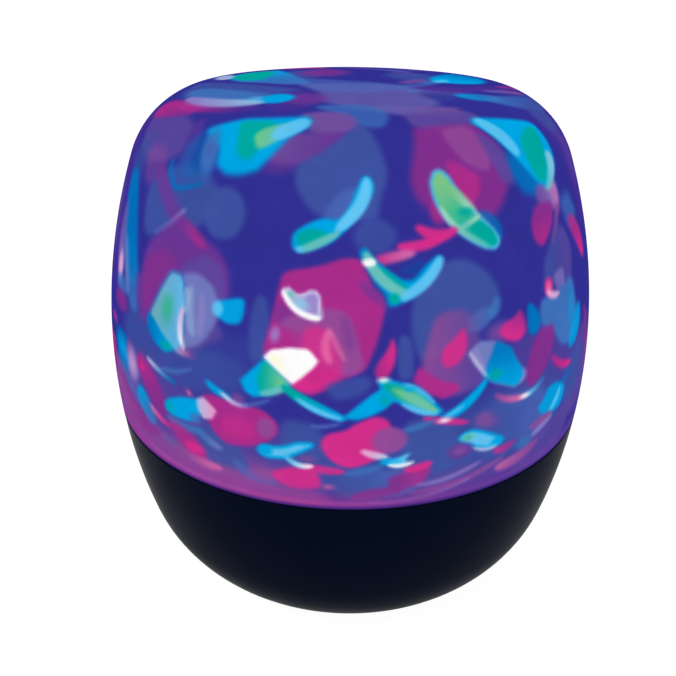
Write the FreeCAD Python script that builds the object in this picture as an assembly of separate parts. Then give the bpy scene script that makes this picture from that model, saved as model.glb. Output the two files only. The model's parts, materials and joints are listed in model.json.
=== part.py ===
"""A table-top mood lamp: a glowing dome that pulls off a round black base.

Inside, three coloured lamps on a fixed post shine through a faceted lens. A small
gearmotor turns the lens, so patches of light travel over the inside of the dome.
Three AA cells feed it from a compartment under the base.

Frame: millimetres, +Z up, the origin on the table under the middle of the lamp,
the front towards -Y and the push button and cable socket at the back, +Y.
Each sub-part is one function that returns its shape, and is written to parts/NODE.step.
"""
import FreeCAD, Part
import math
import os

Vector = FreeCAD.Vector
UP = Vector(0, 0, 1)
ACROSS = Vector(1, 0, 0)
BACK = Vector(0, 1, 0)
ORIGIN = Vector(0, 0, 0)

# ---- outside form: one outline of four tangent arcs, turned about Z ----
BODY_RADIUS = 60.0         # largest radius
CROWN_Z = 124.0            # top of the dome
WIDEST_Z = 57.5            # height of the largest radius
SEAM_Z = 47.0              # joint line between base and dome
FOOT_HEIGHT = 1.5          # rubber that shows under the base
CROWN_ARC = 262.0          # the gently domed top
SHOULDER_ARC = 22.5        # from the top round to the side
SIDE_ARC = 141.5           # the slightly barrelled side
BOWL_ARC = 34.0            # from the side round to the flat underside
BOWL_ARC_START_Z = 21.0    # where the side arc hands over to the bowl arc

# ---- walls and general clearances ----
DOME_WALL = 2.2
BOWL_WALL = 2.2
FLOOR_THICKNESS = 2.4
FIT = 0.3                  # between parts that are pushed together by hand
RUNNING = 0.08             # between a shaft or a bearing and its bore
SEAM_BEVEL = 0.35          # small edge break on each side of the joint line

# ---- the dome's spigot in the mouth of the base ----
SPIGOT_LENGTH = 3.5
SPIGOT_WALL = 1.8
SPIGOT_SLOPE = 3.2         # height over which the dome's wall thickens above the spigot
RIM_WALL = 2.6             # base wall around the mouth

# ---- deck, the lid over the gears ----
DECK_THICKNESS = 2.0
DECK_COLLAR_HEIGHT = 2.4
DECK_COLLAR_WALL = 1.4
DECK_RIBS = 8
DECK_RIB_THICKNESS = 1.6
DECK_RIB_REACH = 3.2       # how far a rib carries the deck inwards

# ---- chassis, the plate that carries motor, bearing and lamps ----
CHASSIS_THICKNESS = 2.0
CHASSIS_EDGE_GAP = 3.5     # to the deck ribs
GEAR_ROOM = 8.0            # between chassis and deck
HUB_RADIUS = 20.0
HUB_WALL = 4.5
HUB_HEIGHT = 7.6
THRUST_WIDTH = 3.5
THRUST_HEIGHT = 0.4

# ---- gears ----
GEAR_MODULE = 1.0
RING_TEETH = 60
PINION_TEETH = 12
GEAR_FACE = 4.0
PRESSURE_ANGLE = 20.0
ADDENDUM = 0.8             # stub teeth, in modules
DEDENDUM = 1.1
BACKLASH = 0.24            # taken off each tooth's thickness
CENTRE_SLACK = 0.1         # added to the ideal centre distance
PINION_BOSS_WALL = 1.8
PINION_BOSS_HEIGHT = 1.2

# ---- turning sleeve, lens cup and lens ----
SLEEVE_GAP = 1.0           # between hub and sleeve, above the bearing
SLEEVE_WALL = 3.6
SLEEVE_DECK_GAP = 0.75
SLEEVE_ABOVE_DECK = 1.0
CUP_FLOOR = 1.6
CUP_LIP = 3.2              # how far the cup stands out beyond the sleeve
CUP_WALL = 1.4
CUP_WALL_HEIGHT = 2.8
LENS_WALL = 2.0
LENS_SIDES = 16
LENS_ROWS = 5
LENS_SKIRT = 3.0
LENS_CAP_ANGLE = 76.0      # elevation of the ring around the flat top facet

# ---- lamps ----
LED_BOARD_INSET = 1.4      # from the hub's edge
BOARD_THICKNESS = 1.6
LED_RADIUS = 2.5
LED_HEIGHT = 8.6
LED_FLANGE = 0.4
LED_FLANGE_HEIGHT = 1.0
LED_CIRCLE = 7.5
LED_LEAD = 0.5
LED_LEAD_SPACING = 2.54
LED_LEAD_BELOW_BOARD = 1.4

# ---- gearmotor ----
SHAFT_RADIUS = 1.5
SHAFT_OUT = 8.0
SHAFT_IN = 6.0
GEARBOX_LENGTH = 9.0
MOTOR_WIDTH = 12.0
MOTOR_DEPTH = 10.0
MOTOR_CAN_LENGTH = 10.2
MOTOR_CAP_LENGTH = 1.2
MOTOR_TAG = 1.4            # length below the end cap
MOTOR_TAG_X = 3.2
MOTOR_TAG_HALF = 1.0
MOTOR_TAG_THICKNESS = 0.6
CLAMP_WALL = 1.6
CLAMP_HEIGHT = 7.0
CLAMP_EAR = 8.0
CLAMP_EAR_THICKNESS = 1.6
CLAMP_BOSS_RADIUS = 2.6
CLAMP_BOSS_HEIGHT = 2.0    # above the chassis

# ---- screws: shank radius, head radius, head height ----
SMALL_SCREW = (1.0, 1.3, 1.2)
BIG_SCREW = (1.45, 2.6, 1.8)
SCREW_SLOP = 0.05
SMALL_SCREW_LENGTH = 5.0
DECK_SCREW_LENGTH = 8.0
HOUSING_SCREW_LENGTH = 9.5
SCREW_DRIVE_DEPTH = 0.7
SCREW_DRIVE_WIDTH = 0.6

# ---- base: screw towers and feet ----
TOWER_X = 20.0
TOWER_GAP = 1.2            # between tower and cell compartment
TOWER_RADIUS = 3.8
TOWER_BORE = 2.9
TOWER_SEAT = 2.5           # plastic between screw head and chassis post
POST_LENGTH = 6.5          # chassis posts that stand on the towers
DECK_POST_RADIUS = 3.2
DECK_POST_INSET = 2.8      # from the chassis edge
FOOT_RADIUS = 4.2
FOOT_POCKET = 1.0
FOOT_FIT = 0.1
FOOT_EDGE = 0.5

# ---- cells and their compartment ----
CELL_RADIUS = 7.1
CELL_LENGTH = 50.0         # over the positive nub
CELL_NUB_RADIUS = 2.7
CELL_NUB_LENGTH = 1.2
CELL_EDGE = 0.5
CELL_PITCH = 15.0
CELLS = 3
CELL_SIDE_GAP = 0.4
CELL_UNDER_GAP = 0.5
CELL_OVER_GAP = 0.5
CONTACT_THICKNESS = 0.5
CONTACT_SPRING_LENGTH = 4.7
CONTACT_HEIGHT = 10.0
CONTACT_WIDTH = 11.0
SPRING_WIRE = 0.35         # wire radius
SPRING_RADIUS = 4.2
SPRING_TURNS = 3
SPRING_POINTS = 8          # path points per turn
TRAY_WALL = 1.5
TRAY_EAR = 6.5
TRAY_EAR_THICKNESS = 2.0
TRAY_EAR_WIDTH = 7.0
TRAY_PILLAR_HEIGHT = 4.6
TRAY_PILLAR_RADIUS = 3.0
TAG_WIDTH = 3.0            # solder tags of the two end contacts
TAG_ABOVE_TRAY = 2.2

# ---- cell door under the base ----
DOOR_THICKNESS = 2.1
DOOR_TAB_X = 15.0
DOOR_TAB_WIDTH = 6.0
DOOR_TAB_REACH = 2.0
DOOR_TAB_THICKNESS = 1.0
DOOR_TAB_LIFT = 0.3
TAB_SWING = 3.2            # room over the floor for a tab to swing up
DOOR_CORNER = 2.0
DOOR_EAR_WIDTH = 11.0
DOOR_EAR_REACH = 3.4       # beyond the door's screw
DOOR_SCREW_RECESS = 1.2
DOOR_SCREW_LENGTH = 5.5
DOOR_SCREW_GAP = 0.5       # lets the captive screw swing with the door
DOOR_SCREW_FROM_TRAY = 4.2
DOOR_PAD_RIM = 1.6         # thicker floor over the door's ear
DOOR_PAD_HEIGHT = 1.4
DOOR_PILLAR_RADIUS = 3.0
DOOR_PILLAR_HEIGHT = 6.0
DOOR_RIBS = 7
DOOR_RIB_DEPTH = 0.5
DOOR_RIB_PITCH = 3.4

# ---- control board, button and cable socket, at the back ----
CONTROL_DROP = 2.2         # from the chassis underside to the button's axis
BOARD_WALL_THICKNESS = 2.4
CONTROL_WIDTH = 34.0
CONTROL_HEIGHT = 16.0
BOARD_WALL_HEIGHT = 10.0   # below the chassis
CONTROL_SCREW_INSET = 2.6  # from the board's side edge
CONTROL_SCREW_RISE = 2.4   # from the wall's lower edge
WINDOW_WIDTH = 14.0        # gap in the wall, where wires reach the board
WINDOW_HEIGHT = 6.4
SWITCH_SIZE = 6.0
SWITCH_HEIGHT = 3.5
PLUNGER_RADIUS = 1.7
PLUNGER_OUT = 1.0
PLUNGER_WELL = 2.0
BUTTON_X = -10.0
BUTTON_RADIUS = 4.0
BUTTON_FLANGE = 1.2
BUTTON_FLANGE_THICKNESS = 1.0
BUTTON_PROUD = 1.2
BUTTON_DISH = 0.4
BUTTON_DISH_RADIUS = 12.0
BUTTON_EDGE = 0.6
BUTTON_TRAVEL = 0.5
GUIDE_WALL = 1.3
SOCKET_X = 10.0
SOCKET_WIDTH = 8.9
SOCKET_HEIGHT = 3.3
SOCKET_DEPTH = 10.0
SOCKET_INSET = 0.4         # from the outer wall to the socket's mouth
SOCKET_SHELL = 0.3
SOCKET_END = 1.0
SOCKET_TONGUE = 0.7
SOCKET_TONGUE_WIDTH = 6.2
SOCKET_TONGUE_BACK = 1.2
SOCKET_GAP = 0.2
CHIP = (7.0, 5.0, 1.5)
CHIP_PINS = 4
CHIP_PIN_OUT = 0.9
CAPACITOR_RADIUS = 2.5
CAPACITOR_LENGTH = 5.4
CAPACITOR_GAP = 0.3
WIRE_RADIUS = 0.45
WIRE_REACH = 0.45          # share of the shorter run that a bend takes up
WIRE_END_RUN = 14.6        # last straight run to the control board
MOTOR_WIRE_LOW = 1.6       # heights are over the cell compartment
MOTOR_WIRE_HIGH = 2.8
MOTOR_WIRE_END = 2.0
MOTOR_WIRE_X = 3.0
MOTOR_WIRE_BOW_X = 3.8
MOTOR_WIRE_BOW_Y = 8.0
MOTOR_WIRE_END_X = 2.4
LED_WIRE_PITCH = 2.4
LED_WIRE_DROP = 6.6
LED_WIRE_SAG = 5.6
LED_WIRE_SAG_Y = 16.0
LED_WIRE_END = 4.6
BATTERY_WIRE_END_X = 5.6
BATTERY_WIRE_END = 1.6     # over the solder tags

# ---- places that follow from the sizes above ----
FLOOR_TOP = FOOT_HEIGHT + FLOOR_THICKNESS
SPIGOT_BOTTOM = SEAM_Z - SPIGOT_LENGTH
DECK_TOP = SPIGOT_BOTTOM - FIT
DECK_BOTTOM = DECK_TOP - DECK_THICKNESS
CHASSIS_TOP = DECK_BOTTOM - GEAR_ROOM
CHASSIS_BOTTOM = CHASSIS_TOP - CHASSIS_THICKNESS
GEAR_BOTTOM = CHASSIS_TOP + THRUST_HEIGHT
GEAR_TOP = GEAR_BOTTOM + GEAR_FACE
HUB_TOP = CHASSIS_TOP + HUB_HEIGHT
HUB_BORE = HUB_RADIUS - HUB_WALL
LED_BOARD_RADIUS = HUB_RADIUS - LED_BOARD_INSET
LED_BOARD_TOP = HUB_TOP + BOARD_THICKNESS
SLEEVE_INNER = HUB_RADIUS + SLEEVE_GAP
SLEEVE_OUTER = SLEEVE_INNER + SLEEVE_WALL
SLEEVE_TOP = DECK_TOP + SLEEVE_ABOVE_DECK
CUP_FLOOR_TOP = SLEEVE_TOP + CUP_FLOOR
CUP_RADIUS = SLEEVE_OUTER + CUP_LIP
LENS_RADIUS = CUP_RADIUS - CUP_WALL - RUNNING
LENS_CENTRE_Z = CUP_FLOOR_TOP + LENS_SKIRT
RING_PITCH_RADIUS = GEAR_MODULE * RING_TEETH / 2
PINION_PITCH_RADIUS = GEAR_MODULE * PINION_TEETH / 2
PINION_Y = -(RING_PITCH_RADIUS + PINION_PITCH_RADIUS + CENTRE_SLACK)
TOWER_TOP = CHASSIS_BOTTOM - POST_LENGTH
DOOR_TOP = FOOT_HEIGHT + DOOR_THICKNESS
CELL_Z = FLOOR_TOP + CELL_UNDER_GAP + CELL_RADIUS
TRAY_ROOF = CELL_Z + CELL_RADIUS + CELL_OVER_GAP
TRAY_HALF_X = (CELL_LENGTH + CONTACT_SPRING_LENGTH + 2 * CONTACT_THICKNESS) / 2
TRAY_HALF_Y = (CELLS - 1) / 2 * CELL_PITCH + CELL_RADIUS + CELL_SIDE_GAP
DOOR_HALF_X = TRAY_HALF_X
DOOR_HALF_Y = TRAY_HALF_Y
DOOR_SCREW_Y = TRAY_HALF_Y + TRAY_WALL + DOOR_SCREW_FROM_TRAY
TOWER_Y = TRAY_HALF_Y + TRAY_WALL + TOWER_GAP + TOWER_RADIUS
TRAY_TOP = TRAY_ROOF + TRAY_WALL
TRAY_SCREW_X = TRAY_HALF_X + TRAY_WALL + TRAY_EAR / 2
CONTROL_Z = CHASSIS_BOTTOM - CONTROL_DROP


# ======================= helpers =======================

def box(x0, x1, y0, y1, z0, z1):
    """A box between two values on each axis."""
    return Part.makeBox(x1 - x0, y1 - y0, z1 - z0, Vector(x0, y0, z0))


def rod(radius, bottom, top, x=0.0, y=0.0):
    """An upright cylinder."""
    return Part.makeCylinder(radius, top - bottom, Vector(x, y, bottom), UP)


def ring(outer, inner, bottom, top, x=0.0, y=0.0):
    """An upright tube."""
    return rod(outer, bottom, top, x, y).cut(rod(inner, bottom, top, x, y))


def rod_back(radius, y0, y1, x, z):
    """A cylinder that lies along Y."""
    return Part.makeCylinder(radius, y1 - y0, Vector(x, y0, z), BACK)


def rounded_box(x0, x1, y0, y1, z0, z1, corner):
    """A box with its four upright edges rounded."""
    block = box(x0, x1, y0, y1, z0, z1)
    upright = [e for e in block.Edges if abs(e.Vertexes[0].Z - e.Vertexes[1].Z) > 1e-6]
    return block.makeFillet(corner, upright)


def fuse(shapes):
    """One shape from several that touch or overlap, with leftover edges removed."""
    first = shapes[0]
    return first.fuse(shapes[1:]).removeSplitter() if len(shapes) > 1 else first


def group(shapes):
    """Several separate solids in one node."""
    return Part.makeCompound(shapes)


def turned(edges):
    """The solid that a closed outline in the XZ plane sweeps about Z."""
    return Part.Face(Part.Wire(edges)).revolve(ORIGIN, UP, 360)


def screw_down(size, length, x, y, head_bottom):
    """A pan-head screw that points down, with a cross recess in its head."""
    shank, head, height = size
    body = rod(shank, head_bottom - length, head_bottom, x, y)
    top = rod(head, head_bottom, head_bottom + height, x, y)
    reach = head * 0.7
    half = SCREW_DRIVE_WIDTH / 2
    z0 = head_bottom + height - SCREW_DRIVE_DEPTH
    z1 = head_bottom + height
    cross = box(x - reach, x + reach, y - half, y + half, z0, z1).fuse(
        box(x - half, x + half, y - reach, y + reach, z0, z1))
    return body.fuse(top).removeSplitter().cut(cross)


def screw_up(size, length, x, y, head_top):
    """The same screw pointing up."""
    screw = screw_down(size, length, 0, 0, 0)
    screw.rotate(ORIGIN, ACROSS, 180)
    screw.translate(Vector(x, y, head_top))
    return screw


# ======================= the outline of four arcs =======================

def outline_arcs(inset):
    """(centre radius, centre height, arc radius) of crown, shoulder, side and bowl arcs.

    The shoulder arc touches the crown and the side arcs from inside. Its centre is
    where two circles about their centres cross, drawn with the differences of radii.
    The bowl arc touches the side arc where it starts. An inset keeps every centre and
    shortens every radius, so the wall has the same thickness all round.
    """
    side = (BODY_RADIUS - SIDE_ARC, WIDEST_Z)
    crown = (0.0, CROWN_Z - CROWN_ARC)
    to_crown = CROWN_ARC - SHOULDER_ARC
    to_side = SIDE_ARC - SHOULDER_ARC
    dr, dz = side[0] - crown[0], side[1] - crown[1]
    apart = math.hypot(dr, dz)
    along = (to_crown ** 2 - to_side ** 2 + apart ** 2) / (2 * apart)
    off = math.sqrt(to_crown ** 2 - along ** 2)
    shoulder = (crown[0] + (along * dr + off * dz) / apart,
                crown[1] + (along * dz - off * dr) / apart)
    join = bowl_join_angle()
    bowl = (side[0] + (SIDE_ARC - BOWL_ARC) * math.cos(join),
            side[1] + (SIDE_ARC - BOWL_ARC) * math.sin(join))
    return {
        "crown": (*crown, CROWN_ARC - inset),
        "shoulder": (*shoulder, SHOULDER_ARC - inset),
        "side": (*side, SIDE_ARC - inset),
        "bowl": (*bowl, BOWL_ARC - inset),
    }


def bowl_join_angle():
    """Angle above level, at the side arc's centre, where the bowl arc takes over."""
    return math.asin((BOWL_ARC_START_Z - WIDEST_Z) / SIDE_ARC)


def angle_to(arcs, name, other):
    """Angle above level of the line between two arcs' centres, as seen from the first."""
    a, b = arcs[name], arcs[other]
    return math.atan2(b[1] - a[1], b[0] - a[0])


def angle_at(arc, height):
    """Angle above level of the arc's point at that height."""
    return math.asin((height - arc[1]) / arc[2])


def arc_point(arc, angle):
    return Vector(arc[0] + arc[2] * math.cos(angle), 0, arc[1] + arc[2] * math.sin(angle))


def arc_edge(arc, start, end):
    """The arc's edge between two angles."""
    middle = arc_point(arc, (start + end) / 2)
    return Part.Arc(arc_point(arc, start), middle, arc_point(arc, end)).toShape()


def line(a, b):
    return Part.makeLine(a, b)


def path_of(points):
    """Straight edges through a list of points."""
    return [line(a, b) for a, b in zip(points, points[1:])]


def side_radius(inset, height):
    """Radius of the outline, moved in by inset, at a height between floor and shoulder."""
    arcs = outline_arcs(inset)
    on_side = arc_point(arcs["side"], bowl_join_angle()).z
    arc = arcs["side"] if height > on_side else arcs["bowl"]
    return arc_point(arc, angle_at(arc, height)).x


def dome_edges(inset, lowest):
    """Crown, shoulder and side edges from the axis down to a height."""
    arcs = outline_arcs(inset)
    top = math.pi / 2
    crown_end = angle_to(arcs, "crown", "shoulder")
    side_start = angle_to(arcs, "side", "shoulder")
    return [
        arc_edge(arcs["crown"], top, crown_end),
        arc_edge(arcs["shoulder"], crown_end, side_start),
        arc_edge(arcs["side"], side_start, angle_at(arcs["side"], lowest)),
    ]


def bowl_edges(inset, highest, lowest):
    """Side and bowl edges from a height down to the flat underside."""
    arcs = outline_arcs(inset)
    join = bowl_join_angle()
    return [
        arc_edge(arcs["side"], angle_at(arcs["side"], highest), join),
        arc_edge(arcs["bowl"], join, angle_at(arcs["bowl"], lowest)),
    ]


def ends(edges):
    """First and last point of a run of edges drawn downwards."""
    return edges[0].firstVertex(True).Point, edges[-1].lastVertex(True).Point


MOUTH_RADIUS = side_radius(0.0, SEAM_Z) - RIM_WALL
SPIGOT_OUTER = MOUTH_RADIUS - FIT
SPIGOT_INNER = SPIGOT_OUTER - SPIGOT_WALL
DECK_RADIUS = MOUTH_RADIUS - FIT
CHASSIS_RADIUS = DECK_RADIUS - DECK_RIB_REACH - CHASSIS_EDGE_GAP
DECK_POST_CIRCLE = CHASSIS_RADIUS - DECK_POST_INSET - DECK_POST_RADIUS


def wall_y(x):
    """Y of the base's outer wall at the back, at the button's height."""
    return math.sqrt(side_radius(0.0, CONTROL_Z) ** 2 - x ** 2)


SOCKET_FRONT = wall_y(SOCKET_X + SOCKET_WIDTH / 2) - SOCKET_INSET
BOARD_BACK = SOCKET_FRONT - SOCKET_DEPTH
BOARD_WALL_Y = BOARD_BACK - BOARD_THICKNESS
SWITCH_FRONT = BOARD_BACK + SWITCH_HEIGHT
BUTTON_BACK = SWITCH_FRONT + PLUNGER_OUT
BUTTON_STOP = BUTTON_BACK + BUTTON_FLANGE_THICKNESS
BUTTON_FACE = wall_y(BUTTON_X) + BUTTON_PROUD


# ======================= dome =======================

def dome():
    """Translucent shell with a spigot that plugs into the mouth of the base."""
    outer = dome_edges(0.0, SEAM_Z + SEAM_BEVEL)
    inner = dome_edges(DOME_WALL, SEAM_Z + SPIGOT_SLOPE)
    top_out, low_out = ends(outer)
    top_in, low_in = ends(inner)
    rim = side_radius(0.0, SEAM_Z)
    below = [
        low_out,
        Vector(rim - SEAM_BEVEL, 0, SEAM_Z),
        Vector(SPIGOT_OUTER, 0, SEAM_Z),
        Vector(SPIGOT_OUTER, 0, SPIGOT_BOTTOM),
        Vector(SPIGOT_INNER, 0, SPIGOT_BOTTOM),
        Vector(SPIGOT_INNER, 0, SEAM_Z),
        low_in,
    ]
    return turned(outer + path_of(below) + inner[::-1] + [line(top_in, top_out)])


# ======================= base bowl =======================

def bowl_skin():
    """The base's wall and floor, before towers, ribs and holes."""
    outer = bowl_edges(0.0, SEAM_Z - SEAM_BEVEL, FOOT_HEIGHT)
    inner = bowl_edges(BOWL_WALL, DECK_BOTTOM, FLOOR_TOP)
    top_out, low_out = ends(outer)
    top_in, low_in = ends(inner)
    rim = side_radius(0.0, SEAM_Z)
    floor = [low_out, Vector(0, 0, FOOT_HEIGHT), Vector(0, 0, FLOOR_TOP), low_in]
    mouth = [
        top_in,
        Vector(MOUTH_RADIUS, 0, DECK_BOTTOM),
        Vector(MOUTH_RADIUS, 0, SEAM_Z),
        Vector(rim - SEAM_BEVEL, 0, SEAM_Z),
        top_out,
    ]
    return turned(outer + path_of(floor) + inner[::-1] + path_of(mouth))


def bowl_inside(inset):
    """The solid that fills the outline below the deck, moved in by inset."""
    edges = bowl_edges(inset, DECK_BOTTOM, FOOT_HEIGHT + inset)
    top, low = ends(edges)
    close = [low, Vector(0, 0, low.z), Vector(0, 0, top.z), top]
    return turned(edges + path_of(close))


def tower_places():
    return [(sx * TOWER_X, sy * TOWER_Y) for sx in (-1, 1) for sy in (-1, 1)]


def deck_ribs():
    """Fins on the wall whose tops carry the deck, set between the deck's screws."""
    fins = []
    for i in range(DECK_RIBS):
        fin = box(DECK_RADIUS - DECK_RIB_REACH, BODY_RADIUS,
                  -DECK_RIB_THICKNESS / 2, DECK_RIB_THICKNESS / 2,
                  CHASSIS_BOTTOM, DECK_BOTTOM)
        fin.rotate(ORIGIN, UP, (i + 0.5) * 360 / DECK_RIBS)
        fins.append(fin)
    return fins


def door_opening(gap, bottom, top):
    """The outline of the cell door, grown by a gap."""
    plate = rounded_box(-DOOR_HALF_X - gap, DOOR_HALF_X + gap, -DOOR_HALF_Y - gap,
                        DOOR_HALF_Y + gap, bottom, top, DOOR_CORNER + gap)
    half = DOOR_EAR_WIDTH / 2 + gap
    ear = rounded_box(-half, half, 0, DOOR_SCREW_Y + DOOR_EAR_REACH + gap, bottom, top,
                      DOOR_CORNER + gap)
    return plate.fuse(ear).removeSplitter()


def base_bowl():
    """Black bowl: wall, floor, screw towers, deck ribs, pillars and the openings."""
    keep_in = bowl_inside(BOWL_WALL / 2)
    inner_parts = [rod(TOWER_RADIUS, FOOT_HEIGHT, TOWER_TOP, x, y) for x, y in tower_places()]
    for side in (-1, 1):
        inner_parts.append(rod(TRAY_PILLAR_RADIUS, FOOT_HEIGHT, FLOOR_TOP + TRAY_PILLAR_HEIGHT,
                               side * TRAY_SCREW_X, 0))
    half = DOOR_EAR_WIDTH / 2 + FIT + DOOR_PAD_RIM
    inner_parts.append(box(-half, half, TRAY_HALF_Y + TRAY_WALL + FIT,
                           DOOR_SCREW_Y + DOOR_EAR_REACH + FIT + DOOR_PAD_RIM,
                           FOOT_HEIGHT, FLOOR_TOP + DOOR_PAD_HEIGHT))
    inner_parts.append(rod(DOOR_PILLAR_RADIUS, FOOT_HEIGHT, FLOOR_TOP + DOOR_PILLAR_HEIGHT,
                           0, DOOR_SCREW_Y))
    inner_parts += deck_ribs()
    guide_radius = BUTTON_RADIUS + FIT + GUIDE_WALL
    inner_parts.append(rod_back(guide_radius, BUTTON_STOP, BODY_RADIUS, BUTTON_X, CONTROL_Z))
    bowl = fuse([bowl_skin()] + [p.common(keep_in) for p in inner_parts])

    cuts = [door_opening(FIT, FOOT_HEIGHT - 1, DOOR_TOP + FIT)]
    cuts.append(rounded_box(-DOOR_HALF_X - FIT, DOOR_HALF_X + FIT, -DOOR_HALF_Y - FIT,
                            DOOR_HALF_Y + FIT, FOOT_HEIGHT - 1, FLOOR_TOP + 1, DOOR_CORNER + FIT))
    cuts += [tab_slot(side) for side in (-1, 1)]
    for x, y in tower_places():
        cuts.append(rod(FOOT_RADIUS + FOOT_FIT, FOOT_HEIGHT - 1, FOOT_HEIGHT + FOOT_POCKET, x, y))
        cuts.append(rod(TOWER_BORE, FOOT_HEIGHT, TOWER_TOP - TOWER_SEAT, x, y))
        cuts.append(rod(BIG_SCREW[0] + RUNNING, FOOT_HEIGHT, TOWER_TOP + 1, x, y))
    for side in (-1, 1):
        cuts.append(rod(SMALL_SCREW[0] + SCREW_SLOP, FLOOR_TOP + 0.6,
                        FLOOR_TOP + TRAY_PILLAR_HEIGHT + 1, side * TRAY_SCREW_X, 0))
    cuts.append(rod(SMALL_SCREW[0] + DOOR_SCREW_GAP, FOOT_HEIGHT,
                    FLOOR_TOP + DOOR_PILLAR_HEIGHT - 1.0, 0, DOOR_SCREW_Y))
    cuts.append(rod_back(BUTTON_RADIUS + FIT, BUTTON_STOP - 1, BODY_RADIUS + 1, BUTTON_X, CONTROL_Z))
    cuts.append(socket_block(SOCKET_GAP, BOARD_WALL_Y, BODY_RADIUS + 1))
    for cut in cuts:
        bowl = bowl.cut(cut)
    return bowl


def tab_slot(side):
    """Shallow recess in the floor under one of the door's two hinge tabs."""
    x = side * DOOR_TAB_X
    half = DOOR_TAB_WIDTH / 2 + FIT
    return box(x - half, x + half, -DOOR_HALF_Y - DOOR_TAB_REACH - 2 * FIT, -DOOR_HALF_Y + 1,
               DOOR_TOP + DOOR_TAB_LIFT - FIT, FLOOR_TOP + 1)


# ======================= deck =======================

def deck_post_places():
    return [(DECK_POST_CIRCLE * math.cos(a), DECK_POST_CIRCLE * math.sin(a))
            for a in (math.radians(45 + 90 * i) for i in range(4))]


def deck():
    """Lid over the gears, with a collar inside the dome's spigot and four screw holes."""
    plate = rod(DECK_RADIUS, DECK_BOTTOM, DECK_TOP)
    collar_outer = SPIGOT_INNER - FIT
    collar = ring(collar_outer, collar_outer - DECK_COLLAR_WALL, DECK_TOP - 0.5,
                  DECK_TOP + DECK_COLLAR_HEIGHT)
    hole = rod(SLEEVE_OUTER + SLEEVE_DECK_GAP, DECK_BOTTOM - 1, DECK_TOP + 1)
    lid = fuse([plate, collar]).cut(hole)
    for x, y in deck_post_places():
        lid = lid.cut(rod(BIG_SCREW[0] + RUNNING, DECK_BOTTOM - 1, DECK_TOP + 1, x, y))
    return lid


def deck_screws():
    return group([screw_down(BIG_SCREW, DECK_SCREW_LENGTH, x, y, DECK_TOP)
                  for x, y in deck_post_places()])


# ======================= chassis =======================

def chassis():
    """Plate with the bearing hub, posts up to the deck and down to the towers."""
    plate = rod(CHASSIS_RADIUS, CHASSIS_BOTTOM, CHASSIS_TOP)
    thrust = rod(HUB_RADIUS + THRUST_WIDTH, CHASSIS_TOP - 0.5, CHASSIS_TOP + THRUST_HEIGHT)
    hub = rod(HUB_RADIUS, CHASSIS_TOP - 0.5, HUB_TOP)
    wall_back = BOARD_WALL_Y - BOARD_WALL_THICKNESS
    wall = box(-CONTROL_WIDTH / 2, CONTROL_WIDTH / 2, wall_back, BOARD_WALL_Y,
               CHASSIS_BOTTOM - BOARD_WALL_HEIGHT, CHASSIS_TOP)
    solids = [plate, thrust, hub, wall]
    solids += [rod(TOWER_RADIUS, TOWER_TOP, CHASSIS_TOP, x, y) for x, y in tower_places()]
    solids += [rod(DECK_POST_RADIUS, CHASSIS_BOTTOM, DECK_BOTTOM, x, y)
               for x, y in deck_post_places()]
    solids += [rod(CLAMP_BOSS_RADIUS, CHASSIS_BOTTOM, CHASSIS_TOP + CLAMP_BOSS_HEIGHT, x, PINION_Y)
               for x in clamp_screw_places()]
    body = fuse(solids)
    notch = box(-CONTROL_WIDTH / 2 - FIT, CONTROL_WIDTH / 2 + FIT, BOARD_WALL_Y, BODY_RADIUS,
                CHASSIS_BOTTOM - 1, CHASSIS_TOP + 1)
    wall_bottom = CHASSIS_BOTTOM - BOARD_WALL_HEIGHT
    window = box(-WINDOW_WIDTH / 2, WINDOW_WIDTH / 2, wall_back - 1, BOARD_WALL_Y + 1,
                 wall_bottom - 1, wall_bottom + WINDOW_HEIGHT)
    cuts = [notch, window, rod(HUB_BORE, CHASSIS_BOTTOM - 1, HUB_TOP + 1)]
    cuts.append(rod(SHAFT_RADIUS + 1.0, CHASSIS_BOTTOM - 1, CHASSIS_TOP + 1, 0, PINION_Y))
    for x, y in tower_places():
        cuts.append(rod(BIG_SCREW[0] + SCREW_SLOP, TOWER_TOP - 1, CHASSIS_BOTTOM + 1, x, y))
    for x, y in deck_post_places():
        cuts.append(rod(BIG_SCREW[0] + SCREW_SLOP, DECK_TOP - DECK_SCREW_LENGTH - FIT,
                        DECK_BOTTOM + 1, x, y))
    for x, y in led_screw_places():
        cuts.append(rod(SMALL_SCREW[0] + SCREW_SLOP, HUB_TOP - SMALL_SCREW_LENGTH, HUB_TOP + 1, x, y))
    for x in clamp_screw_places():
        cuts.append(rod(SMALL_SCREW[0] + SCREW_SLOP, CHASSIS_BOTTOM - 1,
                        CHASSIS_BOTTOM - CLAMP_EAR_THICKNESS + SMALL_SCREW_LENGTH + FIT, x, PINION_Y))
    for x, z in control_screw_places():
        cuts.append(rod_back(SMALL_SCREW[0] + SCREW_SLOP, wall_back - 1, BOARD_WALL_Y + 1, x, z))
    for cut in cuts:
        body = body.cut(cut)
    return body


def housing_screws():
    """Screws up the base's towers into the chassis posts."""
    head_top = TOWER_TOP - TOWER_SEAT
    return group([screw_up(BIG_SCREW, HOUSING_SCREW_LENGTH, x, y, head_top)
                  for x, y in tower_places()])


def rubber_feet():
    """Round pads in the pockets under the towers, which they close."""
    feet = []
    for x, y in tower_places():
        pad = rod(FOOT_RADIUS, 0, FOOT_HEIGHT + FOOT_POCKET, x, y)
        bottom = [e for e in pad.Edges if len(e.Vertexes) == 1 and e.Vertexes[0].Z < 1e-6]
        feet.append(pad.makeFillet(FOOT_EDGE, bottom))
    return group(feet)


# ======================= gears =======================

def polar(radius, angle):
    return Vector(radius * math.cos(angle), radius * math.sin(angle), 0)


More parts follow.
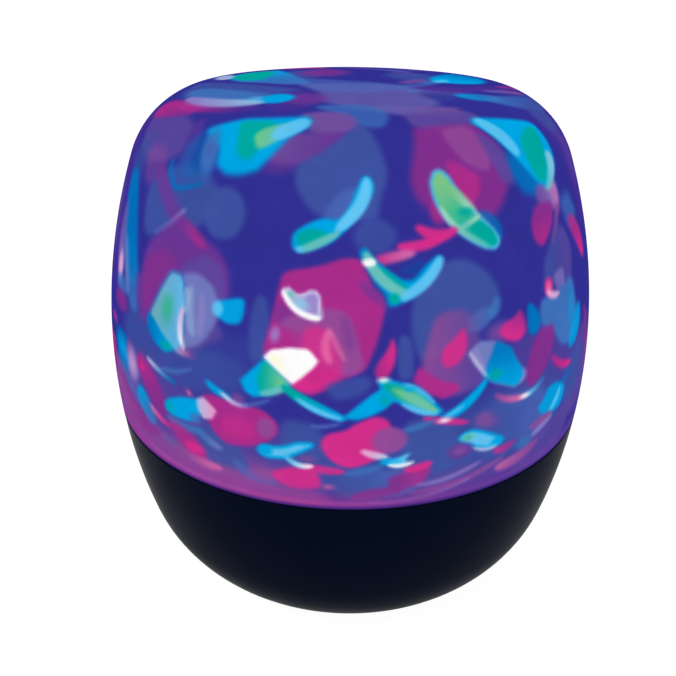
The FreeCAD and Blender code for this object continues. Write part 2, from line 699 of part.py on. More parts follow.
def involute_angle(base, radius):
    """Angle that an involute has turned from its base circle when it reaches a radius."""
    if radius <= base:
        return 0.0
    roll = math.sqrt((radius / base) ** 2 - 1)
    return roll - math.atan(roll)


def gear_prism(teeth, bottom, top, phase):
    """A toothed disc. phase turns it, in teeth; tooth 0 is centred on +X at phase 0."""
    pitch = GEAR_MODULE * teeth / 2
    base = pitch * math.cos(math.radians(PRESSURE_ANGLE))
    tip = pitch + ADDENDUM * GEAR_MODULE
    root = pitch - DEDENDUM * GEAR_MODULE
    half_tooth = math.pi / (2 * teeth) - BACKLASH / (2 * pitch)
    at_pitch = involute_angle(base, pitch)
    start = max(root, base)
    radii = [start + (tip - start) * i / 3 for i in range(4)]
    step = 2 * math.pi / teeth
    edges = []

    def flank(centre, side):
        """Points from root to tip on one side of a tooth."""
        run = [polar(r, centre + side * (half_tooth + at_pitch - involute_angle(base, r)))
               for r in radii]
        if root < start:
            run.insert(0, polar(root, centre + side * (half_tooth + at_pitch)))
        return run

    def curve(points):
        """The flank as an involute curve, with a straight foot where it starts below the base circle."""
        made = []
        if root < start:
            made.append(Part.makeLine(points[0], points[1]))
            points = points[1:]
        spline = Part.BSplineCurve()
        spline.interpolate(points)
        made.append(spline.toShape())
        return made

    for i in range(teeth):
        centre = (i + phase) * step
        rising, falling = flank(centre, -1), flank(centre, 1)
        following = flank(centre + step, -1)
        edges += curve(rising)
        edges.append(Part.Arc(rising[-1], polar(tip, centre), falling[-1]).toShape())
        edges += [e for e in reversed(curve(falling))]
        edges.append(Part.Arc(falling[0], polar(root, centre + step / 2), following[0]).toShape())
    face = Part.Face(Part.Wire(Part.__sortEdges__(edges)))
    disc = face.extrude(Vector(0, 0, top - bottom))
    disc.translate(Vector(0, 0, bottom))
    return disc


def ring_gear():
    """Toothed disc that turns on the chassis hub, with the sleeve that carries the lens cup."""
    teeth = gear_prism(RING_TEETH, GEAR_BOTTOM, GEAR_TOP, 0.0)
    sleeve = rod(SLEEVE_OUTER, GEAR_TOP - 0.5, SLEEVE_TOP)
    body = teeth.fuse(sleeve).removeSplitter()
    body = body.cut(rod(SLEEVE_INNER, GEAR_TOP, SLEEVE_TOP + 1))
    body = body.cut(rod(HUB_RADIUS + RUNNING, GEAR_BOTTOM - 1, GEAR_TOP + 1))
    for x, y in cup_screw_places():
        body = body.cut(rod(SMALL_SCREW[0] + SCREW_SLOP, SLEEVE_TOP - SMALL_SCREW_LENGTH,
                            SLEEVE_TOP + 1, x, y))
    return body


def drive_pinion():
    """Small gear on the motor shaft, meshing with the front of the ring gear.

    The front lies three quarters of a turn from the ring gear's tooth 0. The pinion is
    turned so that the middle of a gap between its teeth meets the ring gear's tooth there.
    """
    phase = PINION_TEETH / 4 + RING_TEETH * 3 / 4 - 0.5
    gear = gear_prism(PINION_TEETH, GEAR_BOTTOM, GEAR_TOP, phase)
    boss = rod(SHAFT_RADIUS + PINION_BOSS_WALL, GEAR_TOP - 0.5, GEAR_TOP + PINION_BOSS_HEIGHT)
    gear = gear.fuse(boss).removeSplitter()
    gear = gear.cut(rod(SHAFT_RADIUS + SCREW_SLOP, GEAR_BOTTOM - 1, GEAR_TOP + 3))
    gear.translate(Vector(0, PINION_Y, 0))
    return gear


# ======================= lens =======================

def cup_screw_places():
    circle = (SLEEVE_INNER + SLEEVE_OUTER) / 2
    return [(circle * math.cos(a), circle * math.sin(a))
            for a in (math.radians(30 + 120 * i) for i in range(3))]


def lens_cup():
    """Shallow ring screwed to the turning sleeve, which holds the lens by its skirt."""
    floor = ring(CUP_RADIUS, SLEEVE_INNER, SLEEVE_TOP, CUP_FLOOR_TOP)
    wall = ring(CUP_RADIUS, CUP_RADIUS - CUP_WALL, CUP_FLOOR_TOP - 0.5, CUP_FLOOR_TOP + CUP_WALL_HEIGHT)
    cup = fuse([floor, wall])
    for x, y in cup_screw_places():
        cup = cup.cut(rod(SMALL_SCREW[0] + SCREW_SLOP, SLEEVE_TOP - 1, CUP_FLOOR_TOP + 1, x, y))
    return cup


def cup_screws():
    return group([screw_down(SMALL_SCREW, SMALL_SCREW_LENGTH, x, y, CUP_FLOOR_TOP)
                  for x, y in cup_screw_places()])


def facet_ring(radius, height, turn):
    """Corners of one level ring of the cut lens."""
    step = 2 * math.pi / LENS_SIDES
    return [Vector(radius * math.cos((j + turn) * step), radius * math.sin((j + turn) * step), height)
            for j in range(LENS_SIDES)]


def facet_lens():
    """Clear hollow dome cut with flat facets outside, and smooth inside."""
    levels = [(LENS_RADIUS, CUP_FLOOR_TOP)]
    for i in range(LENS_ROWS + 1):
        a = math.radians(LENS_CAP_ANGLE) * i / LENS_ROWS
        levels.append((LENS_RADIUS * math.cos(a), LENS_CENTRE_Z + LENS_RADIUS * math.sin(a)))
    rings = [facet_ring(r, z, 0.0) for r, z in levels]
    faces = [Part.Face(Part.makePolygon(rings[0] + rings[0][:1])),
             Part.Face(Part.makePolygon(rings[-1] + rings[-1][:1]))]
    for low, high in zip(rings, rings[1:]):
        for j in range(LENS_SIDES):
            k = (j + 1) % LENS_SIDES
            faces.append(Part.Face(Part.makePolygon([low[j], low[k], high[k], high[j], low[j]])))
    block = Part.Solid(Part.Shell(faces))
    inner = LENS_RADIUS - LENS_WALL
    hollow = rod(inner, CUP_FLOOR_TOP - 1, LENS_CENTRE_Z).fuse(
        Part.makeSphere(inner, Vector(0, 0, LENS_CENTRE_Z)))
    return block.cut(hollow)


# ======================= lamps =======================

def led_places():
    return [(LED_CIRCLE * math.cos(a), LED_CIRCLE * math.sin(a))
            for a in (math.radians(90 + 120 * i) for i in range(3))]


def led_screw_places():
    circle = (HUB_BORE + LED_BOARD_RADIUS) / 2
    return [(circle, 0.0), (-circle, 0.0)]


def led_board():
    board = rod(LED_BOARD_RADIUS, HUB_TOP, LED_BOARD_TOP)
    for x, y in led_screw_places():
        board = board.cut(rod(SMALL_SCREW[0] + SCREW_SLOP, HUB_TOP - 1, LED_BOARD_TOP + 1, x, y))
    for x, y in led_places():
        for side in (-1, 1):
            board = board.cut(rod(LED_LEAD, HUB_TOP - 1, LED_BOARD_TOP + 1,
                                  x + side * LED_LEAD_SPACING / 2, y))
    return board


def led_board_screws():
    return group([screw_down(SMALL_SCREW, SMALL_SCREW_LENGTH, x, y, LED_BOARD_TOP)
                  for x, y in led_screw_places()])


def led(index):
    """A round-topped lamp with a flange and two leads through the board."""
    x, y = led_places()[index]
    bottom = LED_BOARD_TOP
    dome_z = bottom + LED_HEIGHT - LED_RADIUS
    half = LED_LEAD / 2
    solids = [rod(LED_RADIUS + LED_FLANGE, bottom, bottom + LED_FLANGE_HEIGHT, x, y),
              rod(LED_RADIUS, bottom, dome_z, x, y),
              Part.makeSphere(LED_RADIUS, Vector(x, y, dome_z))]
    for side in (-1, 1):
        lx = x + side * LED_LEAD_SPACING / 2
        solids.append(box(lx - half, lx + half, y - half, y + half,
                          HUB_TOP - LED_LEAD_BELOW_BOARD, bottom + 0.2))
    return fuse(solids)


# ======================= gearmotor =======================

def motor_slab(bottom, top):
    """The motor can's section: a circle with two flats."""
    body = rod(MOTOR_WIDTH / 2, bottom, top, 0, PINION_Y)
    half = MOTOR_DEPTH / 2
    flats = box(-MOTOR_WIDTH, MOTOR_WIDTH, PINION_Y - half, PINION_Y + half, bottom, top)
    return body.common(flats)


def gearbox():
    """Closed gearbox whose top face bolts up against the chassis."""
    half_x, half_y = MOTOR_WIDTH / 2, MOTOR_DEPTH / 2
    body = box(-half_x, half_x, PINION_Y - half_y, PINION_Y + half_y,
               CHASSIS_BOTTOM - GEARBOX_LENGTH, CHASSIS_BOTTOM)
    bore = rod(SHAFT_RADIUS + RUNNING, CHASSIS_BOTTOM - SHAFT_IN - FIT, CHASSIS_BOTTOM + 1,
               0, PINION_Y)
    return body.cut(bore)


def motor_can():
    top = CHASSIS_BOTTOM - GEARBOX_LENGTH
    return motor_slab(top - MOTOR_CAN_LENGTH, top)


def motor_end_cap():
    """Insulating end plate with two solder tags."""
    top = CHASSIS_BOTTOM - GEARBOX_LENGTH - MOTOR_CAN_LENGTH
    plate = motor_slab(top - MOTOR_CAP_LENGTH, top)
    tags = [box(x - MOTOR_TAG_THICKNESS / 2, x + MOTOR_TAG_THICKNESS / 2,
                PINION_Y - MOTOR_TAG_HALF, PINION_Y + MOTOR_TAG_HALF,
                top - MOTOR_CAP_LENGTH - MOTOR_TAG, top - 0.2) for x in (-MOTOR_TAG_X, MOTOR_TAG_X)]
    return fuse([plate] + tags)


def motor_shaft():
    """Output shaft, with the flat that drives the pinion."""
    return rod(SHAFT_RADIUS, CHASSIS_BOTTOM - SHAFT_IN, CHASSIS_BOTTOM + SHAFT_OUT, 0, PINION_Y)


def clamp_screw_places():
    x = MOTOR_WIDTH / 2 + FIT + CLAMP_WALL + CLAMP_EAR / 2 - 1.0
    return (-x, x)


def motor_clamp():
    """Saddle round three sides of the gearbox, with an ear on each side."""
    inner_x = MOTOR_WIDTH / 2 + FIT
    inner_y = MOTOR_DEPTH / 2 + FIT
    outer_x = inner_x + CLAMP_WALL
    top, bottom = CHASSIS_BOTTOM, CHASSIS_BOTTOM - CLAMP_HEIGHT
    outside = box(-outer_x, outer_x, PINION_Y - inner_y - CLAMP_WALL, PINION_Y + inner_y, bottom, top)
    inside = box(-inner_x, inner_x, PINION_Y - inner_y, PINION_Y + inner_y + 1, bottom - 1, top + 1)
    ears = box(-outer_x - CLAMP_EAR, outer_x + CLAMP_EAR, PINION_Y - 4, PINION_Y + 4,
               top - CLAMP_EAR_THICKNESS, top)
    clamp = outside.fuse(ears).removeSplitter().cut(inside)
    for x in clamp_screw_places():
        clamp = clamp.cut(rod(SMALL_SCREW[0] + SCREW_SLOP, bottom, top + 1, x, PINION_Y))
    return clamp


def clamp_screws():
    head_top = CHASSIS_BOTTOM - CLAMP_EAR_THICKNESS
    return group([screw_up(SMALL_SCREW, SMALL_SCREW_LENGTH, x, PINION_Y, head_top)
                  for x in clamp_screw_places()])


# ======================= cells =======================

def cell_rows():
    """(index, y, direction of the positive end) of each cell."""
    return [(i, (i - (CELLS - 1) / 2) * CELL_PITCH, 1 if i % 2 == 0 else -1) for i in range(CELLS)]


def cell(index):
    """An AA cell on its side, its nub against the flat contact."""
    _, y, way = cell_rows()[index]
    tip = TRAY_HALF_X - CONTACT_THICKNESS
    body_length = CELL_LENGTH - CELL_NUB_LENGTH
    body = Part.makeCylinder(CELL_RADIUS, body_length, Vector(tip - CELL_LENGTH, y, CELL_Z), ACROSS)
    body = body.makeFillet(CELL_EDGE, [e for e in body.Edges if e.Curve.TypeId == "Part::GeomCircle"])
    nub = Part.makeCylinder(CELL_NUB_RADIUS, 2 * CELL_NUB_LENGTH,
                            Vector(tip - 2 * CELL_NUB_LENGTH, y, CELL_Z), ACROSS)
    solid = body.fuse(nub).removeSplitter()
    if way < 0:
        solid.rotate(Vector(0, y, CELL_Z), UP, 180)
    return solid


def contact_plate(side, y0, y1):
    """A flat strip on one end wall of the compartment."""
    outer = TRAY_HALF_X
    x0, x1 = sorted((side * outer, side * (outer - CONTACT_THICKNESS)))
    half = CONTACT_WIDTH / 2
    return box(x0, x1, y0 - half, y1 + half, CELL_Z - CONTACT_HEIGHT / 2, CELL_Z + CONTACT_HEIGHT / 2)


def tag_places():
    """(side, y) of the single contacts at the two ends of the chain of cells."""
    last = CELLS - 1
    return [(1, -last / 2 * CELL_PITCH), (-1 if last % 2 == 0 else 1, last / 2 * CELL_PITCH)]


def contact_tag(side, y, gap):
    """Solder tag that stands up from a contact through the compartment's roof."""
    x0, x1 = sorted((side * TRAY_HALF_X, side * (TRAY_HALF_X - CONTACT_THICKNESS)))
    half = TAG_WIDTH / 2
    return box(x0 - gap, x1 + gap, y - half - gap, y + half + gap, CELL_Z, TRAY_TOP + TAG_ABOVE_TRAY)


def contact_plates():
    """Strips that join the cells end to end, and a single one at each end of the chain."""
    rows = [y for _, y, _ in cell_rows()]
    plates = [contact_plate(side, y, y).fuse(contact_tag(side, y, 0.0)).removeSplitter()
              for side, y in tag_places()]
    for i in range(CELLS - 1):
        side = -1 if i % 2 == 0 else 1
        plates.append(contact_plate(side, rows[i], rows[i + 1]))
    return group(plates)


def contact_spring(y, way):
    """A coil along X from the end contact to a cell's flat end."""
    length = CONTACT_SPRING_LENGTH - 2 * SPRING_WIRE
    start = -way * (TRAY_HALF_X - CONTACT_THICKNESS - SPRING_WIRE)
    count = SPRING_TURNS * SPRING_POINTS
    points = []
    for i in range(count + 1):
        turn = 2 * math.pi * i / SPRING_POINTS
        points.append(Vector(start + way * length * i / count, y + SPRING_RADIUS * math.cos(turn),
                             CELL_Z + SPRING_RADIUS * math.sin(turn)))
    coil = Part.BSplineCurve()
    coil.interpolate(points)
    section = Part.Wire(Part.makeCircle(SPRING_WIRE, points[0], coil.tangent(coil.FirstParameter)[0]))
    return Part.Wire(coil.toShape()).makePipeShell([section], True, False)


def contact_springs():
    """Coils that press on the negative ends."""
    return group([contact_spring(y, way) for _, y, way in cell_rows()])


def battery_tray():
    """Box over the cells, open below, with an ear at each end and slots for the door's tabs."""
    outer_x, outer_y = TRAY_HALF_X + TRAY_WALL, TRAY_HALF_Y + TRAY_WALL
    shell = rounded_box(-outer_x, outer_x, -outer_y, outer_y, FLOOR_TOP, TRAY_ROOF + TRAY_WALL, 1.5)
    ear_bottom = FLOOR_TOP + TRAY_PILLAR_HEIGHT
    ear_x = outer_x + TRAY_EAR
    ears = box(-ear_x, ear_x, -TRAY_EAR_WIDTH / 2, TRAY_EAR_WIDTH / 2,
               ear_bottom, ear_bottom + TRAY_EAR_THICKNESS)
    tray = fuse([shell, ears])
    tray = tray.cut(box(-TRAY_HALF_X, TRAY_HALF_X, -TRAY_HALF_Y, TRAY_HALF_Y, FLOOR_TOP - 1, TRAY_ROOF))
    for side, y in tag_places():
        tray = tray.cut(contact_tag(side, y, SCREW_SLOP))
    for side in (-1, 1):
        x = side * DOOR_TAB_X
        half = DOOR_TAB_WIDTH / 2 + FIT
        tray = tray.cut(box(x - half, x + half, -outer_y - 1, -TRAY_HALF_Y + 1,
                            FLOOR_TOP - 1, FLOOR_TOP + TAB_SWING))
        tray = tray.cut(rod(SMALL_SCREW[0] + SCREW_SLOP, ear_bottom - 1,
                            ear_bottom + TRAY_EAR_THICKNESS + 1, side * TRAY_SCREW_X, 0))
    return tray


def tray_screws():
    seat = FLOOR_TOP + TRAY_PILLAR_HEIGHT + TRAY_EAR_THICKNESS
    return group([screw_down(SMALL_SCREW, SMALL_SCREW_LENGTH, side * TRAY_SCREW_X, 0, seat)
                  for side in (-1, 1)])


def battery_door():
    """Plate flush with the underside: two hinge tabs in front, a screwed ear at the back."""
    door = door_opening(0.0, FOOT_HEIGHT, DOOR_TOP)
    tabs = []
    for side in (-1, 1):
        x = side * DOOR_TAB_X
        half = DOOR_TAB_WIDTH / 2
        bottom = DOOR_TOP + DOOR_TAB_LIFT
        tabs.append(box(x - half, x + half, -DOOR_HALF_Y - DOOR_TAB_REACH, -DOOR_HALF_Y + 2.0,
                        bottom, bottom + DOOR_TAB_THICKNESS))
        tabs.append(box(x - half, x + half, -DOOR_HALF_Y, -DOOR_HALF_Y + 2.0, DOOR_TOP - 0.5, bottom + 0.2))
    door = fuse([door] + tabs)
    door = door.cut(rod(SMALL_SCREW[1] + RUNNING, FOOT_HEIGHT - 1, FOOT_HEIGHT + DOOR_SCREW_RECESS,
                        0, DOOR_SCREW_Y))
    door = door.cut(rod(SMALL_SCREW[0] + SCREW_SLOP, FOOT_HEIGHT, DOOR_TOP + 1, 0, DOOR_SCREW_Y))
    for i in range(DOOR_RIBS):
        y = -DOOR_HALF_Y + 5.0 + i * DOOR_RIB_PITCH
        door = door.cut(box(-9, 9, y, y + DOOR_RIB_PITCH / 2, FOOT_HEIGHT - 1, FOOT_HEIGHT + DOOR_RIB_DEPTH))
    return door


def door_screw():
    return screw_up(SMALL_SCREW, DOOR_SCREW_LENGTH, 0, DOOR_SCREW_Y, FOOT_HEIGHT + DOOR_SCREW_RECESS)


# ======================= control board =======================

def control_screw_places():
    x = CONTROL_WIDTH / 2 - CONTROL_SCREW_INSET
    z = CHASSIS_BOTTOM - BOARD_WALL_HEIGHT + CONTROL_SCREW_RISE
    return [(-x, z), (x, z)]


def control_board():
    """Upright board behind the back wall."""
    bottom = CONTROL_Z - CONTROL_HEIGHT / 2
    board = box(-CONTROL_WIDTH / 2, CONTROL_WIDTH / 2, BOARD_WALL_Y, BOARD_BACK,
                bottom, bottom + CONTROL_HEIGHT)
    for x, z in control_screw_places():
        board = board.cut(rod_back(SMALL_SCREW[0] + SCREW_SLOP, BOARD_WALL_Y - 1, BOARD_BACK + 1, x, z))
    return board


def control_screws():
    screws = []
    for x, z in control_screw_places():
        screw = screw_down(SMALL_SCREW, BOARD_WALL_THICKNESS + BOARD_THICKNESS, 0, 0, 0)
        screw.rotate(ORIGIN, ACROSS, -90)
        screw.translate(Vector(x, BOARD_BACK, z))
        screws.append(screw)
    return group(screws)


def tact_switch():
    half = SWITCH_SIZE / 2
    body = box(BUTTON_X - half, BUTTON_X + half, BOARD_BACK, SWITCH_FRONT, CONTROL_Z - half, CONTROL_Z + half)
    well = rod_back(PLUNGER_RADIUS + RUNNING, SWITCH_FRONT - PLUNGER_WELL, SWITCH_FRONT + 1,
                    BUTTON_X, CONTROL_Z)
    return body.cut(well)


def switch_plunger():
    return rod_back(PLUNGER_RADIUS, SWITCH_FRONT - PLUNGER_WELL + BUTTON_TRAVEL + FIT, BUTTON_BACK,
                    BUTTON_X, CONTROL_Z)


def push_button():
    """Cap through the back wall, with a flange that stops behind the guide."""
    front = BUTTON_FACE
    cap = rod_back(BUTTON_RADIUS, BUTTON_STOP - 0.2, front, BUTTON_X, CONTROL_Z)
    rim = [e for e in cap.Edges if len(e.Vertexes) == 1 and e.Vertexes[0].Y > front - 1e-6]
    cap = cap.makeFillet(BUTTON_EDGE, rim)
    flange = rod_back(BUTTON_RADIUS + BUTTON_FLANGE, BUTTON_BACK, BUTTON_STOP, BUTTON_X, CONTROL_Z)
    dish = Part.makeSphere(BUTTON_DISH_RADIUS,
                           Vector(BUTTON_X, front + BUTTON_DISH_RADIUS - BUTTON_DISH, CONTROL_Z))
    return fuse([cap, flange]).cut(dish)


def socket_block(grow, y0, y1):
    """The cable socket's rounded section, grown by a gap, between two values of Y."""
    half_x, half_z = SOCKET_WIDTH / 2 + grow, SOCKET_HEIGHT / 2 + grow
    block = box(SOCKET_X - half_x, SOCKET_X + half_x, y0, y1, CONTROL_Z - half_z, CONTROL_Z + half_z)
    along = [e for e in block.Edges if abs(e.Vertexes[0].Y - e.Vertexes[1].Y) > 1e-6]
    return block.makeFillet(half_z - 0.05, along)


def usb_socket():
    """Metal shell with a contact tongue, standing on the control board."""
    shell = socket_block(0.0, BOARD_BACK, SOCKET_FRONT).cut(
        socket_block(-SOCKET_SHELL, BOARD_BACK + SOCKET_END, SOCKET_FRONT + 1))
    half = SOCKET_TONGUE_WIDTH / 2
    tongue = box(SOCKET_X - half, SOCKET_X + half, BOARD_BACK + SOCKET_END / 2,
                 SOCKET_FRONT - SOCKET_TONGUE_BACK,
                 CONTROL_Z - SOCKET_TONGUE / 2, CONTROL_Z + SOCKET_TONGUE / 2)
    return fuse([shell, tongue])


def driver_chip():
    """Moulded chip with a row of pins above and below, on the board's outer side."""
    wide, tall, thick = CHIP
    body = box(-wide / 2, wide / 2, BOARD_BACK, BOARD_BACK + thick,
               CONTROL_Z - tall / 2, CONTROL_Z + tall / 2)
    reach = tall / 2 + CHIP_PIN_OUT
    pins = []
    for i in range(CHIP_PINS):
        x = -wide / 2 + (i + 0.5) * wide / CHIP_PINS
        pins.append(box(x - 0.25, x + 0.25, BOARD_BACK, BOARD_BACK + thick / 2,
                        CONTROL_Z - reach, CONTROL_Z + reach))
    return fuse([body] + pins)


def capacitor():
    """Round can that stands on the board under the chip."""
    z = CONTROL_Z - CHIP[1] / 2 - CHIP_PIN_OUT - CAPACITOR_GAP - CAPACITOR_RADIUS
    return rod_back(CAPACITOR_RADIUS, BOARD_BACK, BOARD_BACK + CAPACITOR_LENGTH, 0, z)


# ======================= wires =======================

def wire(points):
    """A round wire: straight runs joined by arcs that touch both runs."""
    corners = [Vector(*p) for p in points]
    edges, start = [], corners[0]
    for before, corner, after in zip(corners, corners[1:], corners[2:]):
        back, ahead = before - corner, after - corner
        reach = WIRE_REACH * min(back.Length, ahead.Length)
        radius = reach * math.tan(back.getAngle(ahead) / 2)
        back.normalize()
        ahead.normalize()
        inward = (back + ahead).normalize()
        middle = corner + inward * (math.hypot(reach, radius) - radius)
        edges.append(line(start, corner + back * reach))
        edges.append(Part.Arc(corner + back * reach, middle, corner + ahead * reach).toShape())
        start = corner + ahead * reach
        print("wire bend radius %.1f" % radius)
    edges.append(line(start, corners[-1]))
    section = Part.Wire(Part.makeCircle(WIRE_RADIUS, corners[0], corners[1] - corners[0]))
    return Part.Wire(edges).makePipeShell([section], True, False)


def motor_wires():
    """From the motor's tags up its back and over the cell compartment to the board."""
    tag_z = CHASSIS_BOTTOM - GEARBOX_LENGTH - MOTOR_CAN_LENGTH - MOTOR_CAP_LENGTH - MOTOR_TAG / 2
    up_y = (PINION_Y + MOTOR_DEPTH / 2 - TRAY_HALF_Y - TRAY_WALL) / 2
    return group([wire([
        (side * MOTOR_TAG_X, PINION_Y + MOTOR_TAG_HALF, tag_z),
        (side * MOTOR_TAG_X, up_y, tag_z),
        (side * MOTOR_WIRE_X, up_y + WIRE_RADIUS, TRAY_TOP + MOTOR_WIRE_LOW),
        (side * MOTOR_WIRE_BOW_X, MOTOR_WIRE_BOW_Y, TRAY_TOP + MOTOR_WIRE_HIGH),
        (side * MOTOR_WIRE_END_X, BOARD_WALL_Y - WIRE_END_RUN, TRAY_TOP + MOTOR_WIRE_END),
        (side * MOTOR_WIRE_END_X, BOARD_WALL_Y, TRAY_TOP + MOTOR_WIRE_END),
    ]) for side in (-1, 1)])


def led_wires():
    """From the lamp board down the hollow hub and back to the control board."""
    return group([wire([
        (x, 0, HUB_TOP),
        (x, 0, TRAY_TOP + LED_WIRE_DROP),
        (x * 1.1, LED_WIRE_SAG_Y, TRAY_TOP + LED_WIRE_SAG),
        (x, BOARD_WALL_Y - WIRE_END_RUN, TRAY_TOP + LED_WIRE_END),
        (x, BOARD_WALL_Y, TRAY_TOP + LED_WIRE_END),
    ]) for x in [(i - 1.5) * LED_WIRE_PITCH for i in range(4)]])


def battery_wires():
    """From the compartment's two solder tags over its roof to the board."""
    near = TRAY_HALF_X - CONTACT_THICKNESS
    last = (CELLS - 1) / 2 * CELL_PITCH
    z = TRAY_TOP + TAG_ABOVE_TRAY - WIRE_RADIUS
    bend_y, end_z = BOARD_WALL_Y - WIRE_END_RUN, z + BATTERY_WIRE_END
    right = [(near, -last, z), (18.0, -last, z), (9.5, 2.0, z + 1.4), (8.6, 17.0, z + 0.6),
             (BATTERY_WIRE_END_X, bend_y, end_z), (BATTERY_WIRE_END_X, BOARD_WALL_Y, end_z)]
    left = [(-near, last, z), (-17.5, last, z), (-9.0, 20.0, z + 0.9),
            (-BATTERY_WIRE_END_X, bend_y, end_z), (-BATTERY_WIRE_END_X, BOARD_WALL_Y, end_z)]
    return group([wire(right), wire(left)])


def main():
    nodes = {
        "dome": dome, "base_bowl": base_bowl, "deck": deck, "deck_screws": deck_screws,
        "chassis": chassis, "housing_screws": housing_screws, "rubber_feet": rubber_feet,
        "ring_gear": ring_gear, "drive_pinion": drive_pinion, "lens_cup": lens_cup,
        "cup_screws": cup_screws, "facet_lens": facet_lens, "led_board": led_board,
        "led_board_screws": led_board_screws, "gearbox": gearbox, "motor_can": motor_can,
        "motor_end_cap": motor_end_cap, "motor_shaft": motor_shaft, "motor_clamp": motor_clamp,
        "clamp_screws": clamp_screws, "contact_plates": contact_plates,
        "contact_springs": contact_springs, "battery_tray": battery_tray,
        "tray_screws": tray_screws, "battery_door": battery_door, "door_screw": door_screw,
        "control_board": control_board, "control_screws": control_screws,
        "tact_switch": tact_switch, "switch_plunger": switch_plunger, "push_button": push_button,
        "usb_socket": usb_socket, "driver_chip": driver_chip, "capacitor": capacitor,
        "motor_wires": motor_wires, "led_wires": led_wires, "battery_wires": battery_wires,
    }
    for i, colour in enumerate(("red", "green", "blue")):
        nodes["led_" + colour] = lambda i=i: led(i)
    for i in range(CELLS):
        nodes["cell_%d" % (i + 1)] = lambda i=i: cell(i)
    os.makedirs("parts", exist_ok=True)
    for name, make in nodes.items():
        shape = make()
        shape.exportStep("parts/%s.step" % name)
        solids = shape.Solids
        print("%-18s solids %d valid %s volume %.0f" % (
            name, len(solids), shape.isValid(), sum(s.Volume for s in solids)))


main()
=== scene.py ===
# %% [markdown]
# # A dome lamp that throws patches of coloured light
#
# The lamp is a black bowl with a tall, soft-cornered dome on it. Inside the bowl a small motor turns
# a clear plastic cup with cut facets over three LEDs, and each facet bends their light into a patch,
# a streak or a curl on the dome. The dome shows all the colour, so most of this lesson is about it.
#
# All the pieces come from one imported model, in metres, standing on the floor with the front
# towards -Y. The two pieces that the eye rests on, the dome and the bowl, are made again here as
# smooth surfaces, and everything else keeps its own shape and gets a finish.

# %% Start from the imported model
import json
import math

import bpy
import numpy as np
from mathutils import Matrix, Vector


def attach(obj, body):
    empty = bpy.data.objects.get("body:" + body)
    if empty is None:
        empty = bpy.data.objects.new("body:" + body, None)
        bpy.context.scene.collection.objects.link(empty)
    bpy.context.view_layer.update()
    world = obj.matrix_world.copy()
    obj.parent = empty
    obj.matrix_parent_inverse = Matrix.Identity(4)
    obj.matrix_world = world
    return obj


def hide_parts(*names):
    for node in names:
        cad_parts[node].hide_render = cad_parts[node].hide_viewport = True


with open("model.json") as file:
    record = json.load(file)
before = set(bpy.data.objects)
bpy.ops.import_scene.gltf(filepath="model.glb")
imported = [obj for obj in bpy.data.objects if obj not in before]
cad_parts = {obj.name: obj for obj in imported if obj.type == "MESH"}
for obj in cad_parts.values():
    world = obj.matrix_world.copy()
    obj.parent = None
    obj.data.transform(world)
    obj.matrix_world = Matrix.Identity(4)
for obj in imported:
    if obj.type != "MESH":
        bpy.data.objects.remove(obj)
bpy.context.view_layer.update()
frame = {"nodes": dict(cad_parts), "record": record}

MM = 0.001


# %% [markdown]
# ## The camera
#
# The camera stands in front and looks down by 24 degrees, close enough that the crown's far edge
# drops behind its near edge. A close camera makes the dome's shoulders look broad and the bowl
# narrow. A long lens from far away would flatten that, so the distance is as important as the angle.

# %% Camera
LOOK_AT_HEIGHT = 62.75 * MM
CAMERA_DISTANCE = 193.3 * MM
CAMERA_TILT = math.radians(24.13)
CAMERA_ROLL = math.radians(0.52)
CAMERA_LENS = 38.98
CAMERA_SENSOR = 36
CAMERA_SHIFT = (-0.0179, -0.0336)
NEAREST_SEEN = 10 * MM

camera_data = bpy.data.cameras.new("camera")
camera_data.lens = CAMERA_LENS
camera_data.sensor_width = CAMERA_SENSOR
camera_data.shift_x, camera_data.shift_y = CAMERA_SHIFT
camera_data.clip_start = NEAREST_SEEN
camera = bpy.data.objects.new("camera", camera_data)
bpy.context.scene.collection.objects.link(camera)
camera.matrix_world = (
    Matrix.Translation((0, -CAMERA_DISTANCE * math.cos(CAMERA_TILT),
                        LOOK_AT_HEIGHT + CAMERA_DISTANCE * math.sin(CAMERA_TILT)))
    @ Matrix.Rotation(math.pi / 2 - CAMERA_TILT, 4, "X")
    @ Matrix.Rotation(CAMERA_ROLL, 4, "Z")
)
bpy.context.scene.camera = camera
bpy.context.scene.view_settings.view_transform = "Standard"
print("camera at", [round(v, 4) for v in camera.matrix_world.translation])


# %% [markdown]
# ## Small helpers for materials
#
# A Blender material is a tree of nodes. Built in code, each node needs a line to make it and a line
# for each of its wires, so a few helpers keep that short: `add` makes one node, and takes either
# numbers or other nodes' outputs for its inputs. Colours are written as on a paint chart, 0 to 255,
# and turned into the linear values that the renderer adds up.

# %% Colours and nodes
BLACK, WHITE_LIGHT = (0, 0, 0, 1), (1, 1, 1, 1)


def linear_light(chart):
    """Chart values, 0 to 255, as linear light: each share c of 255 becomes c / 12.92 near black
    and ((c + 0.055) / 1.055)^2.4 above."""
    share = np.clip(chart, 0, 255) / 255
    return np.where(share <= 0.04045, share / 12.92, ((share + 0.055) / 1.055) ** 2.4)


def paint(red, green, blue):
    """A chart colour as solid linear RGBA."""
    return (*linear_light([red, green, blue]).tolist(), 1.0)


def add(tree, kind, inputs=(), **settings):
    """One node of a tree. Inputs are pairs of a socket's name or number and what it gets: a value,
    or another node's output."""
    node = tree.nodes.new(kind)
    for name, value in settings.items():
        setattr(node, name, value)
    for socket, value in dict(inputs).items():
        if isinstance(value, bpy.types.NodeSocket):
            tree.links.new(value, node.inputs[socket])
        else:
            node.inputs[socket].default_value = value
    return node


